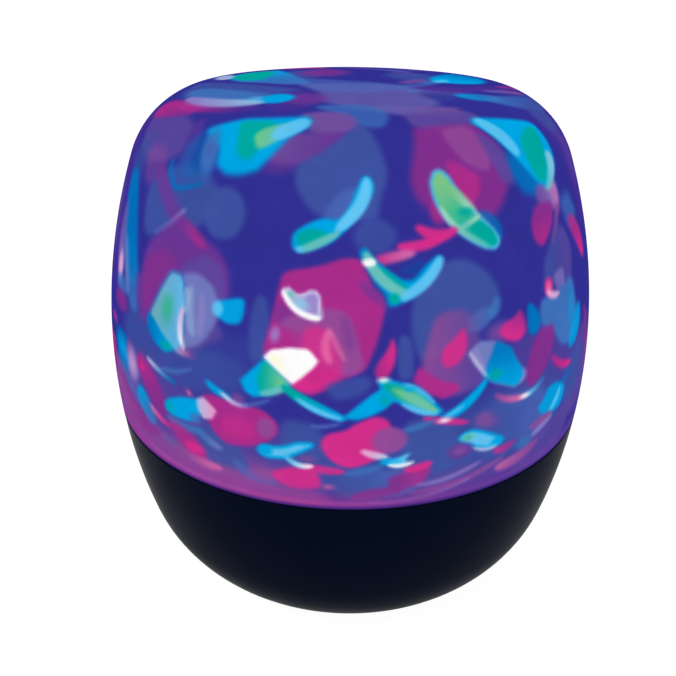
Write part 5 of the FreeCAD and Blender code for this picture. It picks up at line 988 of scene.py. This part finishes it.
# %% Marks low down
low_marks = [
    streak([(-22, 110), (-19, 112.4), (-14, 113.4)], 1.2, HAZE, 0.6, 1.6),
    streak([(12, 115.2), (22, 114.4), (32, 111.6)], 0.7, MAUVE, 0.8, 1.2),
    disc((-63.6, 91.8), 2.4, 1.3, PINK, 0.6, 1.6),
    disc((-59, 101), 3, 2, STEEL, 0.5, 2.4),
    disc((-56.8, 96.8), 5.8, 4.2, (CYAN, BLUE), 0.9, 2.4, tilt=8),
    disc((-52.8, 95.6), 1.8, 2.4, MAUVE, 0.8, 2),
    disc((-51.6, 98.4), 3.2, 4.0, (BLUSH, LILAC), 0.7, 2.4),
    streak([(-47.8, 96.2), (-44, 99.4), (-40.6, 104.4)], 2.9, (MAGENTA, PLUM), 0.9, 2.2, belly=0.6,
           blunt=0.6),
    disc((-47, 97), 1.7, 1.2, (PINK, MAGENTA), 0.85, 1.4),
    streak([(-57, 100), (-53, 104), (-47, 107)], 1.6, STEEL, 0.6, 2.2),
    streak([(-48.4, 103.4), (-46.8, 105.8), (-44.2, 108.6)], 2.6, (CYAN, STEEL), 0.85, 1.6),
    disc((-38.8, 111.4), 1.8, 1.1, HEATHER, 0.6, 1.8),
    streak([(-44.6, 105), (-42, 106.6), (-38.6, 107.6)], 0.75, (ROSE, PINK), 0.85, 1.0),
    facet([(-39.6, 102.4), (-38, 100.8), (-34.6, 99.2), (-30.2, 98.2), (-29.6, 101), (-30.2, 103.3),
           (-33, 104.3), (-36.8, 104.5), (-39.2, 104)], CYAN, 0.97, 1.2, cut=0.1),
    disc((-38, 102.6), 1.1, 1.2, TEAL, 0.6, 1.4),
    disc((-31, 103), 1.5, 1.2, HAZE, 0.7, 1.4),
    facet([(-29.2, 96.8), (-26, 96.2), (-21, 96.8), (-16, 97), (-13.2, 99.4), (-12.9, 101.6), (-15, 103.8),
           (-19, 106), (-24, 106.6), (-27, 104.2)], MAGENTA, 0.95, 1.3),
    facet([(-24, 100), (-18, 100), (-17.6, 103.6), (-21, 104.6), (-25, 104)], PINK, 0.4, 2.4),
    disc((-15.4, 101), 1.9, 2.2, MAUVE, 0.9, 1.2),
    facet([(-30.4, 98.3), (-28.8, 97.3), (-25.6, 99.6), (-26.8, 101.8), (-29, 102.3), (-30.2, 100.4)],
          (MIST, BLUSH), 0.85, 1.0, cut=0.1),
    streak([(-38.6, 105.4), (-34, 106), (-29.6, 105.2)], 1.0, STEEL, 0.85, 1.2),
    streak([(-44.8, 94.2), (-40.6, 95.6), (-36, 96.8)], 0.6, (MIST, BLUE), 0.9, 0.9),
    streak([(-39.8, 94.7), (-35.6, 94), (-31.6, 92.2)], 0.45, (STEEL, HAZE), 0.9, 0.8),
    disc((-32.3, 97.6), 1.1, 0.75, (ROSE, MAUVE), 0.8, 1.1, tilt=30),
    disc((-33, 89.4), 2.2, 0.9, MAUVE, 0.6, 1.4),
    streak([(-27.8, 93.8), (-25.4, 95.2), (-22.8, 96)], 0.8, CYAN, 0.9, 0.9),
    streak([(-24.6, 95.4), (-21.6, 96.9), (-19, 96.8)], 0.55, (MIST, LILAC), 0.95, 0.8),
    streak([(-19.8, 96.9), (-17.4, 96.2), (-14.6, 94.8)], 0.4, HAZE, 0.8, 0.8),
    disc((-21, 95.6), 1.4, 0.9, MAUVE, 0.6, 1.2),
    facet([(-17.4, 106), (-16.3, 104.7), (-12.3, 104.4), (-9.6, 103), (-6.5, 102.8), (-6.3, 103.9),
           (-8, 105.1), (-10.2, 106.4), (-12, 107.4), (-15.6, 107.8), (-17, 107)], ICE, 0.97, 0.9, rim=CYAN),
    disc((-15.7, 105.8), 1.5, 1.2, CYAN, 0.95, 1.0),
    disc((-7.6, 106.7), 1.6, 0.7, MAUVE, 0.6, 1.2),
    streak([(-6.9, 99.3), (-4.4, 99.3), (-1.4, 98.5)], 0.4, HAZE, 0.85, 0.8),
    facet([(-5.1, 102.6), (-4, 100.8), (-0.5, 100), (1, 98.7), (4.6, 97), (7, 97.8), (8, 100.4), (7, 105),
           (3.6, 107.4), (0.4, 108.5), (-2, 107.8), (-4, 106), (-5, 104.2)], PINK, 0.95, 1.2),
    disc((7.4, 102.4), 3.4, 2.9, MAUVE, 0.95, 1.2),
    facet([(-2, 109.4), (6, 109), (14, 109.6), (13, 115.6), (-3, 116)], (SLATE, HAZE), 0.8, 1.8),
    facet([(7, 111), (11, 109.6), (14.6, 108.4), (15.8, 110), (14, 113.4), (8, 114.6)], (PLUM, MAGENTA), 0.85,
          1.6),
    streak([(1, 115.4), (5, 114.6), (10, 114)], 1.2, PLUM, 0.8, 1.3),
    disc((-16, 111.8), 3.2, 1.6, MAUVE, 0.75, 1.8),
    facet([(-15, 111), (-12.4, 109.4), (-9, 108.6), (-6.4, 109), (-5.2, 111), (-5.2, 113.6), (-10, 114.2),
           (-13, 113.2)], PINK, 0.9, 1.5),
    streak([(-8.4, 108.4), (-5, 109), (-1, 109.3)], 0.95, PINK, 0.85, 1.0),
    disc((-3.8, 113), 1.6, 0.9, (ROSE, MAUVE), 0.6, 1.0),
    streak([(-11.6, 106.8), (-9.4, 108.3), (-6.9, 108.3)], 0.6, (ICE, WHITE), 0.95, 0.8, blunt=0.6),
    streak([(13, 113.4), (19, 113), (26, 111)], 0.6, LILAC, 0.6, 1.1),
    facet([(-38.6, 105.8), (-35, 105.8), (-31, 107.6), (-28.8, 110), (-29, 112.4), (-32.6, 112.4), (-36, 110),
           (-38.4, 108)], MAGENTA, 0.85, 2.4),
    streak([(-35, 112), (-30.6, 113), (-25.6, 113)], 1.1, (MAUVE, ROSE), 0.7, 1.4),
    disc((-31.8, 110.2), 2.4, 1.3, PINK, 0.9, 1.8),
    streak([(-30.4, 105.4), (-27.8, 107), (-25.2, 108)], 0.9, (STEEL, FOG), 0.75, 1.3),
    streak([(-48, 116), (-34, 117), (-20, 117)], 0.5, LILAC, 0.6, 1.0),
    streak([(-22, 117.2), (-8, 117.2), (6, 117)], 0.5, ROSE, 0.45, 1.0),
    streak([(4, 117), (14, 116.6), (24, 114.4)], 0.5, LILAC, 0.6, 1.0),
    streak([(10.6, 109.4), (13, 109.2), (15.4, 108.4)], 0.95, PINK, 0.9, 1.1),
    streak([(-0.5, 109.8), (3, 109), (6, 108.2)], 0.8, STEEL, 0.7, 1.2),
    streak([(2.4, 104.5), (4.6, 105.5), (7, 106.1)], 0.8, (BLUSH, MIST), 0.9, 0.9),
    facet([(5.6, 107.3), (6.4, 106.3), (8.6, 106.5), (11.6, 105.4), (10.4, 107), (11.4, 108.1), (8.4, 108.3),
           (6.3, 107.9)], (CYAN, ICE), 0.97, 0.9),
    streak([(7.4, 107.9), (9.6, 108.3), (12, 107.7)], 0.45, WHITE, 0.95, 0.8),
    streak([(10.2, 100.4), (13, 99.9), (15.8, 99)], 0.65, STEEL, 0.8, 0.9),
    disc((27.6, 102.2), 3.0, 1.9, (MAUVE, INDIGO), 0.6, 2.4),
    facet([(20.6, 104), (21.8, 102.9), (24, 102.6), (26.6, 103.7), (29.4, 105.3), (31.4, 106.8), (31, 108),
           (29.4, 108.5), (26.6, 108), (24, 106.8), (21.8, 105.4)], ICE, 0.97, 1.0, rim=CYAN, cut=0.14),
    disc((22.9, 104.3), 1.5, 1.0, (JADE, SAGE), 0.85, 1.2),
    disc((29.8, 107.1), 1.5, 0.9, CYAN, 0.95, 1.0),
    streak([(24.4, 107), (27, 108.2), (29.8, 108.2)], 0.4, MIST, 0.85, 0.8),
    facet([(44, 99.8), (47, 99.6), (50.8, 101.6), (51, 104), (49.6, 106.6), (46, 107), (42.6, 105.8),
           (40.8, 103.4), (42.8, 101.8)], CYAN, 0.92, 1.5, cut=0.14),
    streak([(48.8, 101.8), (47.4, 104.2), (45.2, 106)], 0.9, ICE, 0.85, 1.2),
    streak([(39, 107.4), (42.4, 107), (46, 106.6)], 1.0, MAUVE, 0.85, 1.2),
    streak([(40, 109.6), (43, 108.6), (46.4, 107.6)], 0.9, LILAC, 0.7, 1.3),
    disc((26, 100.8), 2.0, 1.5, MAUVE, 0.6, 1.8),
    disc((21.4, 107), 2.8, 1.8, (MAUVE, PURPLE), 0.75, 1.4),
    streak([(29.4, 109.2), (31.8, 109.6), (34.4, 108.8)], 0.95, (PINK, MAGENTA), 0.75, 1.2),
    disc((37.6, 110.6), 2.2, 1.5, STEEL, 0.7, 1.6),
    streak([(30.6, 114), (35.6, 113.7), (41.6, 112)], 1.5, (ROSE, MAUVE), 0.75, 1.6),
]
print("low marks:", len(low_marks))


# %% [markdown]
# ## All the way round
#
# The lens throws the same kinds of mark on every side. The front's marks are used again for the
# back, and the middle ones fill the two sides, each a little higher or lower. Four broad washes
# lie under them on the sides' shoulders.

# %% Marks for the back and sides
BACK_TURN, SIDE_TURN = 178, 92
BACK_DROP, RIGHT_DROP, LEFT_DROP = 0.8, -0.6, 0.4
SIDE_HALF_WIDTH, SIDE_FROM = 21, 62


def moved(mark, turned_by, lowered_by, mirrored=False):
    """The same mark at another place: turn t becomes t + turned_by, or -t + turned_by in a mirror."""
    sign = -1 if mirrored else 1
    copy = dict(mark)
    copy["line"] = [(sign * t + turned_by, r + lowered_by) for t, r in mark["line"]]
    if mirrored and "tilt" in copy:
        copy["tilt"] = -copy["tilt"]
    return copy


def in_the_middle(mark):
    """Whether the mark's mean place is near the front and below the shoulder."""
    turn, reach = np.mean(mark["line"], axis=0)
    return abs(turn) < SIDE_HALF_WIDTH and reach > SIDE_FROM


side_washes = [
    facet([(80, 40), (100, 38), (112, 46), (104, 58), (84, 56)], (INDIGO, SLATE), 0.8, 4),
    facet([(76, 56), (94, 54), (104, 64), (88, 70)], (PURPLE, INDIGO), 0.6, 4),
    facet([(-112, 44), (-98, 38), (-80, 42), (-84, 54), (-104, 58)], (SLATE, INDIGO), 0.8, 4),
    facet([(-104, 62), (-92, 54), (-76, 58), (-84, 68)], (STEEL, PURPLE), 0.6, 4),
]
front_set = (wash_marks + left_shoulder_marks + right_shoulder_marks + middle_left_marks
             + middle_right_marks + front_marks + low_marks)
side_set = [m for m in front_set if in_the_middle(m)]
right_side = [moved(m, SIDE_TURN, RIGHT_DROP) for m in side_set]
left_side = [moved(m, -SIDE_TURN, LEFT_DROP, mirrored=True) for m in side_set]
back_set = [moved(m, BACK_TURN, BACK_DROP) for m in front_set]
all_marks = crown_marks + side_washes + right_side + left_side + back_set + front_set
print("marks in all:", len(all_marks))


# %% [markdown]
# ## The light at each point
#
# Now every point of the skin gets its colour. The marks go over a dark blue ground, and low down a
# violet band runs round, rosier on the left, where light leaks into the rim. A dark line under it
# is the seam's own shade.

# %% Light carried by each point of the dome
ROW_GAP = 0.46 * MM
RIM_BAND, SEAM_BAND, SEAM_LINE = 6.5 * MM, 1.4 * MM, 0.5 * MM
RIM_STRENGTH, SEAM_STRENGTH = 0.8, 0.9
ROSY_UNTIL, VIOLET_FROM = -0.1, 0.8

skin = place(grid_turn, grid_reach)
column_gap = over_grid(np.ones(RINGS), np.radians(np.gradient(turns)))
spacing = np.maximum(np.hypot(skin[:, 0], skin[:, 1]) * column_gap, ROW_GAP)
painted = lay(all_marks, skin, spacing, np.tile(np.array(NIGHT, float), (len(skin), 1)))

rightward = smooth(ROSY_UNTIL, VIOLET_FROM, np.sin(np.radians(grid_turn)))[:, None]
rim_colour = pull(np.array(RIM_ROSE), np.array(RIM_VIOLET), rightward)
in_rim = smooth(DOME_REACH - RIM_BAND, DOME_REACH - SEAM_LINE, grid_reach)[:, None]
in_seam = smooth(DOME_REACH - SEAM_BAND, DOME_REACH, grid_reach)[:, None]
painted = pull(painted, rim_colour, RIM_STRENGTH * in_rim)
painted = pull(painted, np.array(SEAM_BLUE), SEAM_STRENGTH * in_seam)
print("average colour of the skin:", painted.mean(axis=0).round(1).tolist())


# %% [markdown]
# ## The dome's mesh
#
# The grid becomes a mesh of squares cut into triangles. Colour runs straight along a triangle's
# edges, so a square that lies across a mark's edge shows a step if it is cut the wrong way. The cut
# follows the colours: it joins the two opposite corners that are more alike.

# %% A turned surface
def turned_surface(name, radii, heights, angles, tones):
    """A surface of revolution: point (i, j) is (r_i sin t_j, -r_i cos t_j, h_i). Rows of no radius
    become one point, and a fan of triangles closes them. Each square is cut along the diagonal whose
    ends are closer in tone, so that the marks' edges come out smooth."""
    n = len(angles)
    t = np.radians(angles)
    rings = np.stack([np.outer(radii, np.sin(t)), -np.outer(radii, np.cos(t)),
                      np.repeat(heights[:, None], n, axis=1)], axis=-1)
    inner = rings[1:-1].reshape(-1, 3)
    points = np.concatenate([[[0, 0, heights[0]]], inner, [[0, 0, heights[-1]]]])
    rows = len(radii) - 2
    i, j = np.meshgrid(np.arange(rows - 1), np.arange(n), indexing="ij")
    a = (1 + i * n + j).ravel()
    b = (1 + i * n + (j + 1) % n).ravel()
    below, beside = a + n, b + n
    falling = np.linalg.norm(tones[a] - tones[beside], axis=1)
    rising = np.linalg.norm(tones[below] - tones[b], axis=1)
    fall = falling <= rising
    first = np.stack([a, below, np.where(fall, beside, b)], axis=-1)
    second = np.stack([np.where(fall, a, below), beside, b], axis=-1)
    k = np.arange(n)
    top = np.stack([np.zeros(n, int), 1 + k, 1 + (k + 1) % n], axis=-1)
    base = 1 + (rows - 1) * n
    bottom = np.stack([np.full(n, len(points) - 1), base + (k + 1) % n, base + k], axis=-1)
    mesh = bpy.data.meshes.new(name)
    mesh.from_pydata(points.tolist(), [], np.concatenate([first, second, top, bottom]).tolist())
    mesh.shade_smooth()
    return mesh


dome_mesh = turned_surface("dome_skin", profile_radius, profile_height, turns, painted)
dome = bpy.data.objects.new("dome_skin", dome_mesh)
bpy.context.scene.collection.objects.link(dome)
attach(dome, "dome")
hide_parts("dome")
print("dome:", len(dome_mesh.polygons), "triangles")


# %% [markdown]
# ## The light as an attribute
#
# A mesh can carry a value for each of its points, called an attribute, and a material can read it.
# Between points the value is blended evenly. Linear light blended evenly makes bright edges swell,
# so the colour is stored as its 2.2nd root, close to how the eye counts, and the material raises it
# again.

# %% Store the light
STORE_GAMMA = 2.2

roots = linear_light(painted) ** (1 / STORE_GAMMA)
rgba = np.hstack([roots, np.ones((len(roots), 1))])
layer = dome_mesh.attributes.new("light", "FLOAT_COLOR", "POINT")
layer.data.foreach_set("color", rgba.astype(np.float32).ravel())
print("light stored on", len(rgba), "points")


# %% [markdown]
# ## The dome's finish
#
# The dome is thin milky plastic. What the eye sees on it is light from inside, with a little light
# from the room on top, so the light's colour drives both Emission and a dimmed Base Color. Noise
# through the wall's thickness makes the light a little cloudy, and very fine noise gives the
# surface its moulded texture.

# %% The dome's material
LIT_SHARE = 0.24

dome_finish, tree, shader = new_material("lit milky dome", IOR=1.46, Roughness=0.42,
                                         Specular_IOR_Level=0.0, Emission_Strength=1 - LIT_SHARE)
spot = add(tree, "ShaderNodeTexCoord").outputs["Object"]
stored = add(tree, "ShaderNodeAttribute", attribute_name="light").outputs["Color"]
light_here = add(tree, "ShaderNodeGamma", {"Color": stored, "Gamma": STORE_GAMMA}).outputs["Color"]
clouds = add(tree, "ShaderNodeTexNoise",
             {"Vector": spot, "Scale": 150.0, "Detail": 4.0, "Roughness": 0.6})
cloudy = add(tree, "ShaderNodeMapRange", {"Value": clouds.outputs["Fac"], "From Min": 0.3,
                                          "From Max": 0.7, "To Min": 0.95, "To Max": 1.05})
glow = add(tree, "ShaderNodeHueSaturation", {"Color": light_here, "Value": cloudy.outputs[0]})
lit = mix(tree, 1 - LIT_SHARE, glow.outputs["Color"], BLACK)
fine = add(tree, "ShaderNodeTexNoise", {"Vector": spot, "Scale": 900.0, "Detail": 2.0})
bump = add(tree, "ShaderNodeBump",
           {"Height": fine.outputs["Fac"], "Strength": 0.04, "Distance": 0.2 * MM})
wire(tree, shader, Base_Color=lit, Emission_Color=glow.outputs["Color"], Normal=bump.outputs["Normal"])
dome_mesh.materials.append(dome_finish)
print("dome finish:", dome_finish.name)


# %% [markdown]
# ## The bowl
#
# The bowl is one black moulding with a hollow for everything else. Its outside, the recesses under
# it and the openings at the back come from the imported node. A copy of that node has its triangles
# joined at their edges, so that soft faces run smoothly into each other and sharp edges stay sharp.

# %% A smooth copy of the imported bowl
MERGE_DISTANCE = 0.000002
SHARP_FROM = math.radians(28)


def smooth_copy(node, name, body):
    """A copy of a node's mesh with its doubled points merged, sharp only at its steep edges."""
    mesh = frame["nodes"][node].data.copy()
    mesh.name = name
    piece = bpy.data.objects.new(name, mesh)
    bpy.context.scene.collection.objects.link(piece)
    for other in bpy.context.selected_objects:
        other.select_set(False)
    bpy.context.view_layer.objects.active = piece
    piece.select_set(True)
    bpy.ops.object.mode_set(mode="EDIT")
    bpy.ops.mesh.select_all(action="SELECT")
    bpy.ops.mesh.remove_doubles(threshold=MERGE_DISTANCE)
    bpy.ops.object.mode_set(mode="OBJECT")
    if mesh.has_custom_normals:
        bpy.ops.mesh.customdata_custom_splitnormals_clear()
    mesh.shade_smooth()
    mesh.set_sharp_from_angle(angle=SHARP_FROM)
    piece.select_set(False)
    mesh.materials.clear()
    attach(piece, body)
    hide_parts(node)
    return piece


bowl = smooth_copy("base_bowl", "bowl", "base")
print("bowl:", len(bowl.data.polygons), "faces")


# %% [markdown]
# ## Shared surface effects
#
# Moulded plastic has a very fine grain and slightly uneven gloss, and drawn or plated metal has
# fine lines along one direction. Each effect is a node group, and every material that needs it
# places a copy with its own values. A group takes plain numbers in, and gives the height of the
# relief, for a Bump node, and the roughness.

# %% Moulding grain and fine lines
LINE_STRETCH = (0.06, 1.0, 1.0)


def new_group(name, *inputs):
    """A node group with these number inputs, which gives Height and Roughness. Its own inputs'
    values and the place on the object come back with it."""
    group = bpy.data.node_groups.new(name, "ShaderNodeTree")
    for label in inputs:
        group.interface.new_socket(label, in_out="INPUT", socket_type="NodeSocketFloat")
    for label in ("Height", "Roughness"):
        group.interface.new_socket(label, in_out="OUTPUT", socket_type="NodeSocketFloat")
    values = group.nodes.new("NodeGroupInput").outputs
    return group, values, add(group, "ShaderNodeTexCoord").outputs["Object"]


def finish_group(group, gloss, height, change):
    """Ends a group: the height as it is, and the gloss plus its change, kept from 0 to 1."""
    rough = add(group, "ShaderNodeMath", {0: gloss, 1: change}, operation="ADD", use_clamp=True)
    add(group, "NodeGroupOutput", {"Height": height, "Roughness": rough.outputs[0]})
    return group


def grain_group():
    """Grain at Scale, and gloss that wanders by Unevenness with broad noise."""
    group, values, spot = new_group("moulding grain", "Scale", "Gloss", "Unevenness")
    fine = add(group, "ShaderNodeTexNoise", {"Vector": spot, "Scale": values["Scale"], "Detail": 4.0})
    broad = add(group, "ShaderNodeTexNoise", {"Vector": spot, "Scale": 55.0, "Detail": 2.0})
    centred = add(group, "ShaderNodeMath", {0: broad.outputs["Fac"], 1: 0.5}, operation="SUBTRACT")
    change = add(group, "ShaderNodeMath", {0: centred.outputs[0], 1: values["Unevenness"]},
                 operation="MULTIPLY")
    return finish_group(group, values["Gloss"], fine.outputs["Fac"], change.outputs[0])


def line_group():
    """Fine parallel lines at Scale, made by noise stretched along X."""
    group, values, spot = new_group("fine lines", "Scale", "Gloss")
    stretched = add(group, "ShaderNodeMapping", {"Vector": spot, "Scale": LINE_STRETCH})
    lines = add(group, "ShaderNodeTexNoise",
                {"Vector": stretched.outputs[0], "Scale": values["Scale"], "Detail": 5.0})
    change = add(group, "ShaderNodeMapRange",
                 {"Value": lines.outputs["Fac"], "To Min": -0.08, "To Max": 0.12})
    return finish_group(group, values["Gloss"], lines.outputs["Fac"], change.outputs[0])


moulding_grain = grain_group()
fine_lines = line_group()
print("shared effects:", moulding_grain.name, "and", fine_lines.name)


# %% [markdown]
# ## Plastic, rubber and metal
#
# Nearly every piece inside is moulded plastic or plated metal. The two differ in what the shader
# does, but their recipe is the same: two near colours mixed by broad noise, and one of the shared
# effects for relief and roughness. So one function makes both, and two short ones call it.

# %% Two families of finish
def patterned(name, effect, colours, cloud_scale, relief, depth, values, **constants):
    """Two near colours mixed by noise, with relief and roughness from a shared effect."""
    material, tree, shader = new_material(name, **constants)
    spot = add(tree, "ShaderNodeTexCoord").outputs["Object"]
    cloud = add(tree, "ShaderNodeTexNoise", {"Vector": spot, "Scale": cloud_scale, "Detail": 3.0})
    surface = add(tree, "ShaderNodeGroup", values, node_tree=effect)
    bump = add(tree, "ShaderNodeBump", {"Height": surface.outputs["Height"], "Strength": relief,
                                        "Distance": depth})
    wire(tree, shader, Base_Color=mix(tree, cloud.outputs["Fac"], *colours),
         Roughness=surface.outputs["Roughness"], Normal=bump.outputs["Normal"])
    return material


def moulded(name, colour, second, gloss, scale=1400.0, relief=0.12, specular=0.5):
    """Moulded plastic or rubber, with fine grain and uneven gloss."""
    return patterned(name, moulding_grain, (paint(*colour), paint(*second)), cloud_scale=90.0,
                     relief=relief, depth=0.2 * MM, Specular_IOR_Level=specular,
                     values={"Scale": scale, "Gloss": gloss, "Unevenness": 0.12})


def metal(name, colour, second, gloss):
    """Plated or drawn metal, with fine lines."""
    return patterned(name, fine_lines, (paint(*colour), paint(*second)), cloud_scale=160.0,
                     relief=0.1, depth=0.1 * MM, Metallic=1.0,
                     values={"Scale": 2600.0, "Gloss": gloss})


finishes = {
    "base_plastic": moulded("black satin bowl", (3, 10, 26), (5, 13, 32), 0.36, scale=1700.0,
                            relief=0.06, specular=0.004),
    "inner_plastic": moulded("black chassis plastic", (34, 35, 38), (42, 43, 47), 0.5),
    "deck_plastic": moulded("white deck plastic", (226, 228, 230), (216, 219, 223), 0.42, relief=0.08),
    "gear_plastic": moulded("natural gear plastic", (238, 235, 222), (229, 225, 209), 0.4, relief=0.06),
    "foot_rubber": moulded("foot rubber", (38, 38, 40), (46, 46, 48), 0.8, scale=1900.0,
                           relief=0.3, specular=0.3),
    "motor_cap_plastic": moulded("motor cap nylon", (236, 233, 222), (226, 222, 208), 0.5),
    "switch_plastic": moulded("switch body plastic", (24, 24, 26), (32, 32, 34), 0.45),
    "chip_plastic": moulded("chip plastic", (30, 30, 32), (38, 38, 40), 0.6, scale=2600.0, relief=0.2),
    "capacitor_sleeve": moulded("capacitor sleeve", (30, 42, 104), (36, 50, 116), 0.28, relief=0.05),
    "cell_sleeve": moulded("cell sleeve", (24, 128, 106), (20, 116, 98), 0.25, relief=0.04),
    "wire_insulation": moulded("wire insulation", (176, 30, 32), (158, 24, 28), 0.4, relief=0.08),
    "screw_steel": metal("zinc plated steel", (196, 198, 202), (176, 180, 186), 0.32),
    "motor_steel": metal("drawn motor steel", (202, 204, 208), (186, 188, 194), 0.26),
    "contact_metal": metal("nickel plate", (218, 216, 208), (204, 202, 192), 0.18),
}
bowl.data.materials.append(finishes["base_plastic"])
print("plastics, rubber and metals:", len(finishes))


# %% [markdown]
# ## The boards
#
# A circuit board is covered with solder mask, a thin paint through which the copper tracks show
# faintly. A brick pattern with narrow gaps gives straight lines at right angles, like tracks, and
# the gaps take the tracks' shade.

# %% Boards
def board(name, mask, track):
    """Solder mask over tracks: a brick pattern of narrow gaps, a shade apart from the mask."""
    material, tree, shader = new_material(name)
    spot = add(tree, "ShaderNodeTexCoord").outputs["Object"]
    tracks = add(tree, "ShaderNodeTexBrick", {
        "Vector": spot, "Scale": 190.0, "Mortar Size": 0.06,
        "Color1": paint(*mask), "Color2": paint(*mask), "Mortar": paint(*track)})
    surface = add(tree, "ShaderNodeGroup", {"Scale": 1200.0, "Gloss": 0.32, "Unevenness": 0.1},
                  node_tree=moulding_grain)
    bump = add(tree, "ShaderNodeBump",
               {"Height": tracks.outputs["Fac"], "Strength": 0.15, "Distance": 0.1 * MM})
    wire(tree, shader, Base_Color=tracks.outputs["Color"], Roughness=surface.outputs["Roughness"],
         Normal=bump.outputs["Normal"])
    return material


finishes["lamp_board"] = board("white lamp board", (238, 238, 235), (222, 224, 220))
finishes["control_board"] = board("green control board", (26, 104, 58), (38, 124, 70))
print("boards:", finishes["lamp_board"].name, "and", finishes["control_board"].name)


# %% [markdown]
# ## The LEDs and the lens
#
# Each LED is a drop of tinted clear resin that glows at its own colour. The lens over them is clear
# plastic with a slight blue cast. The shader bends light through it by its own Transmission Weight
# and IOR, and the moulding grain keeps its facets from looking too perfect.

# %% LEDs and lens
LED_GLOW = 0.8


def lit_lamp(name, tint, lit):
    """A lamp's resin: clear tinted plastic that glows, its two colours mixed by noise in the resin."""
    material, tree, shader = new_material(name, Roughness=0.12, IOR=1.52, Emission_Strength=LED_GLOW)
    spot = add(tree, "ShaderNodeTexCoord").outputs["Object"]
    haze = add(tree, "ShaderNodeTexNoise", {"Vector": spot, "Scale": 420.0, "Detail": 2.0})
    glow = mix(tree, haze.outputs["Fac"], paint(*tint), paint(*lit))
    wire(tree, shader, Base_Color=glow, Emission_Color=glow)
    return material


finishes["red_lamp"] = lit_lamp("red lamp resin", (236, 40, 70), (255, 120, 140))
finishes["green_lamp"] = lit_lamp("green lamp resin", (40, 214, 110), (150, 246, 180))
finishes["blue_lamp"] = lit_lamp("blue lamp resin", (40, 80, 244), (120, 160, 255))

lens_finish, tree, shader = new_material("clear faceted lens", IOR=1.49, Transmission_Weight=0.85)
spot = add(tree, "ShaderNodeTexCoord").outputs["Object"]
streaks = add(tree, "ShaderNodeTexNoise", {"Vector": spot, "Scale": 120.0, "Detail": 2.0})
cast = mix(tree, streaks.outputs["Fac"], paint(226, 236, 252), paint(244, 248, 255))
surface = add(tree, "ShaderNodeGroup", {"Scale": 900.0, "Gloss": 0.06, "Unevenness": 0.06},
              node_tree=moulding_grain)
wire(tree, shader, Base_Color=cast, Roughness=surface.outputs["Roughness"])
finishes["lens_plastic"] = lens_finish
print("finishes:", len(finishes))


# %% [markdown]
# ## A finish for every imported node
#
# The imported record says which material slot each node belongs to, so one loop dresses them all.
# Each finish goes into the material list of the node's own mesh, whose shape stays as it is. The
# dome's and the bowl's nodes are left out, because their smooth pieces stand for them.

# %% Dress the imported nodes
shown_parts = [part for part in frame["record"]["subparts"] if part["node"] not in ("dome", "base_bowl")]
for part in shown_parts:
    materials = frame["nodes"][part["node"]].data.materials
    materials.clear()
    materials.append(finishes[part["material_slot"]])
print("dressed:", len(shown_parts), "nodes")
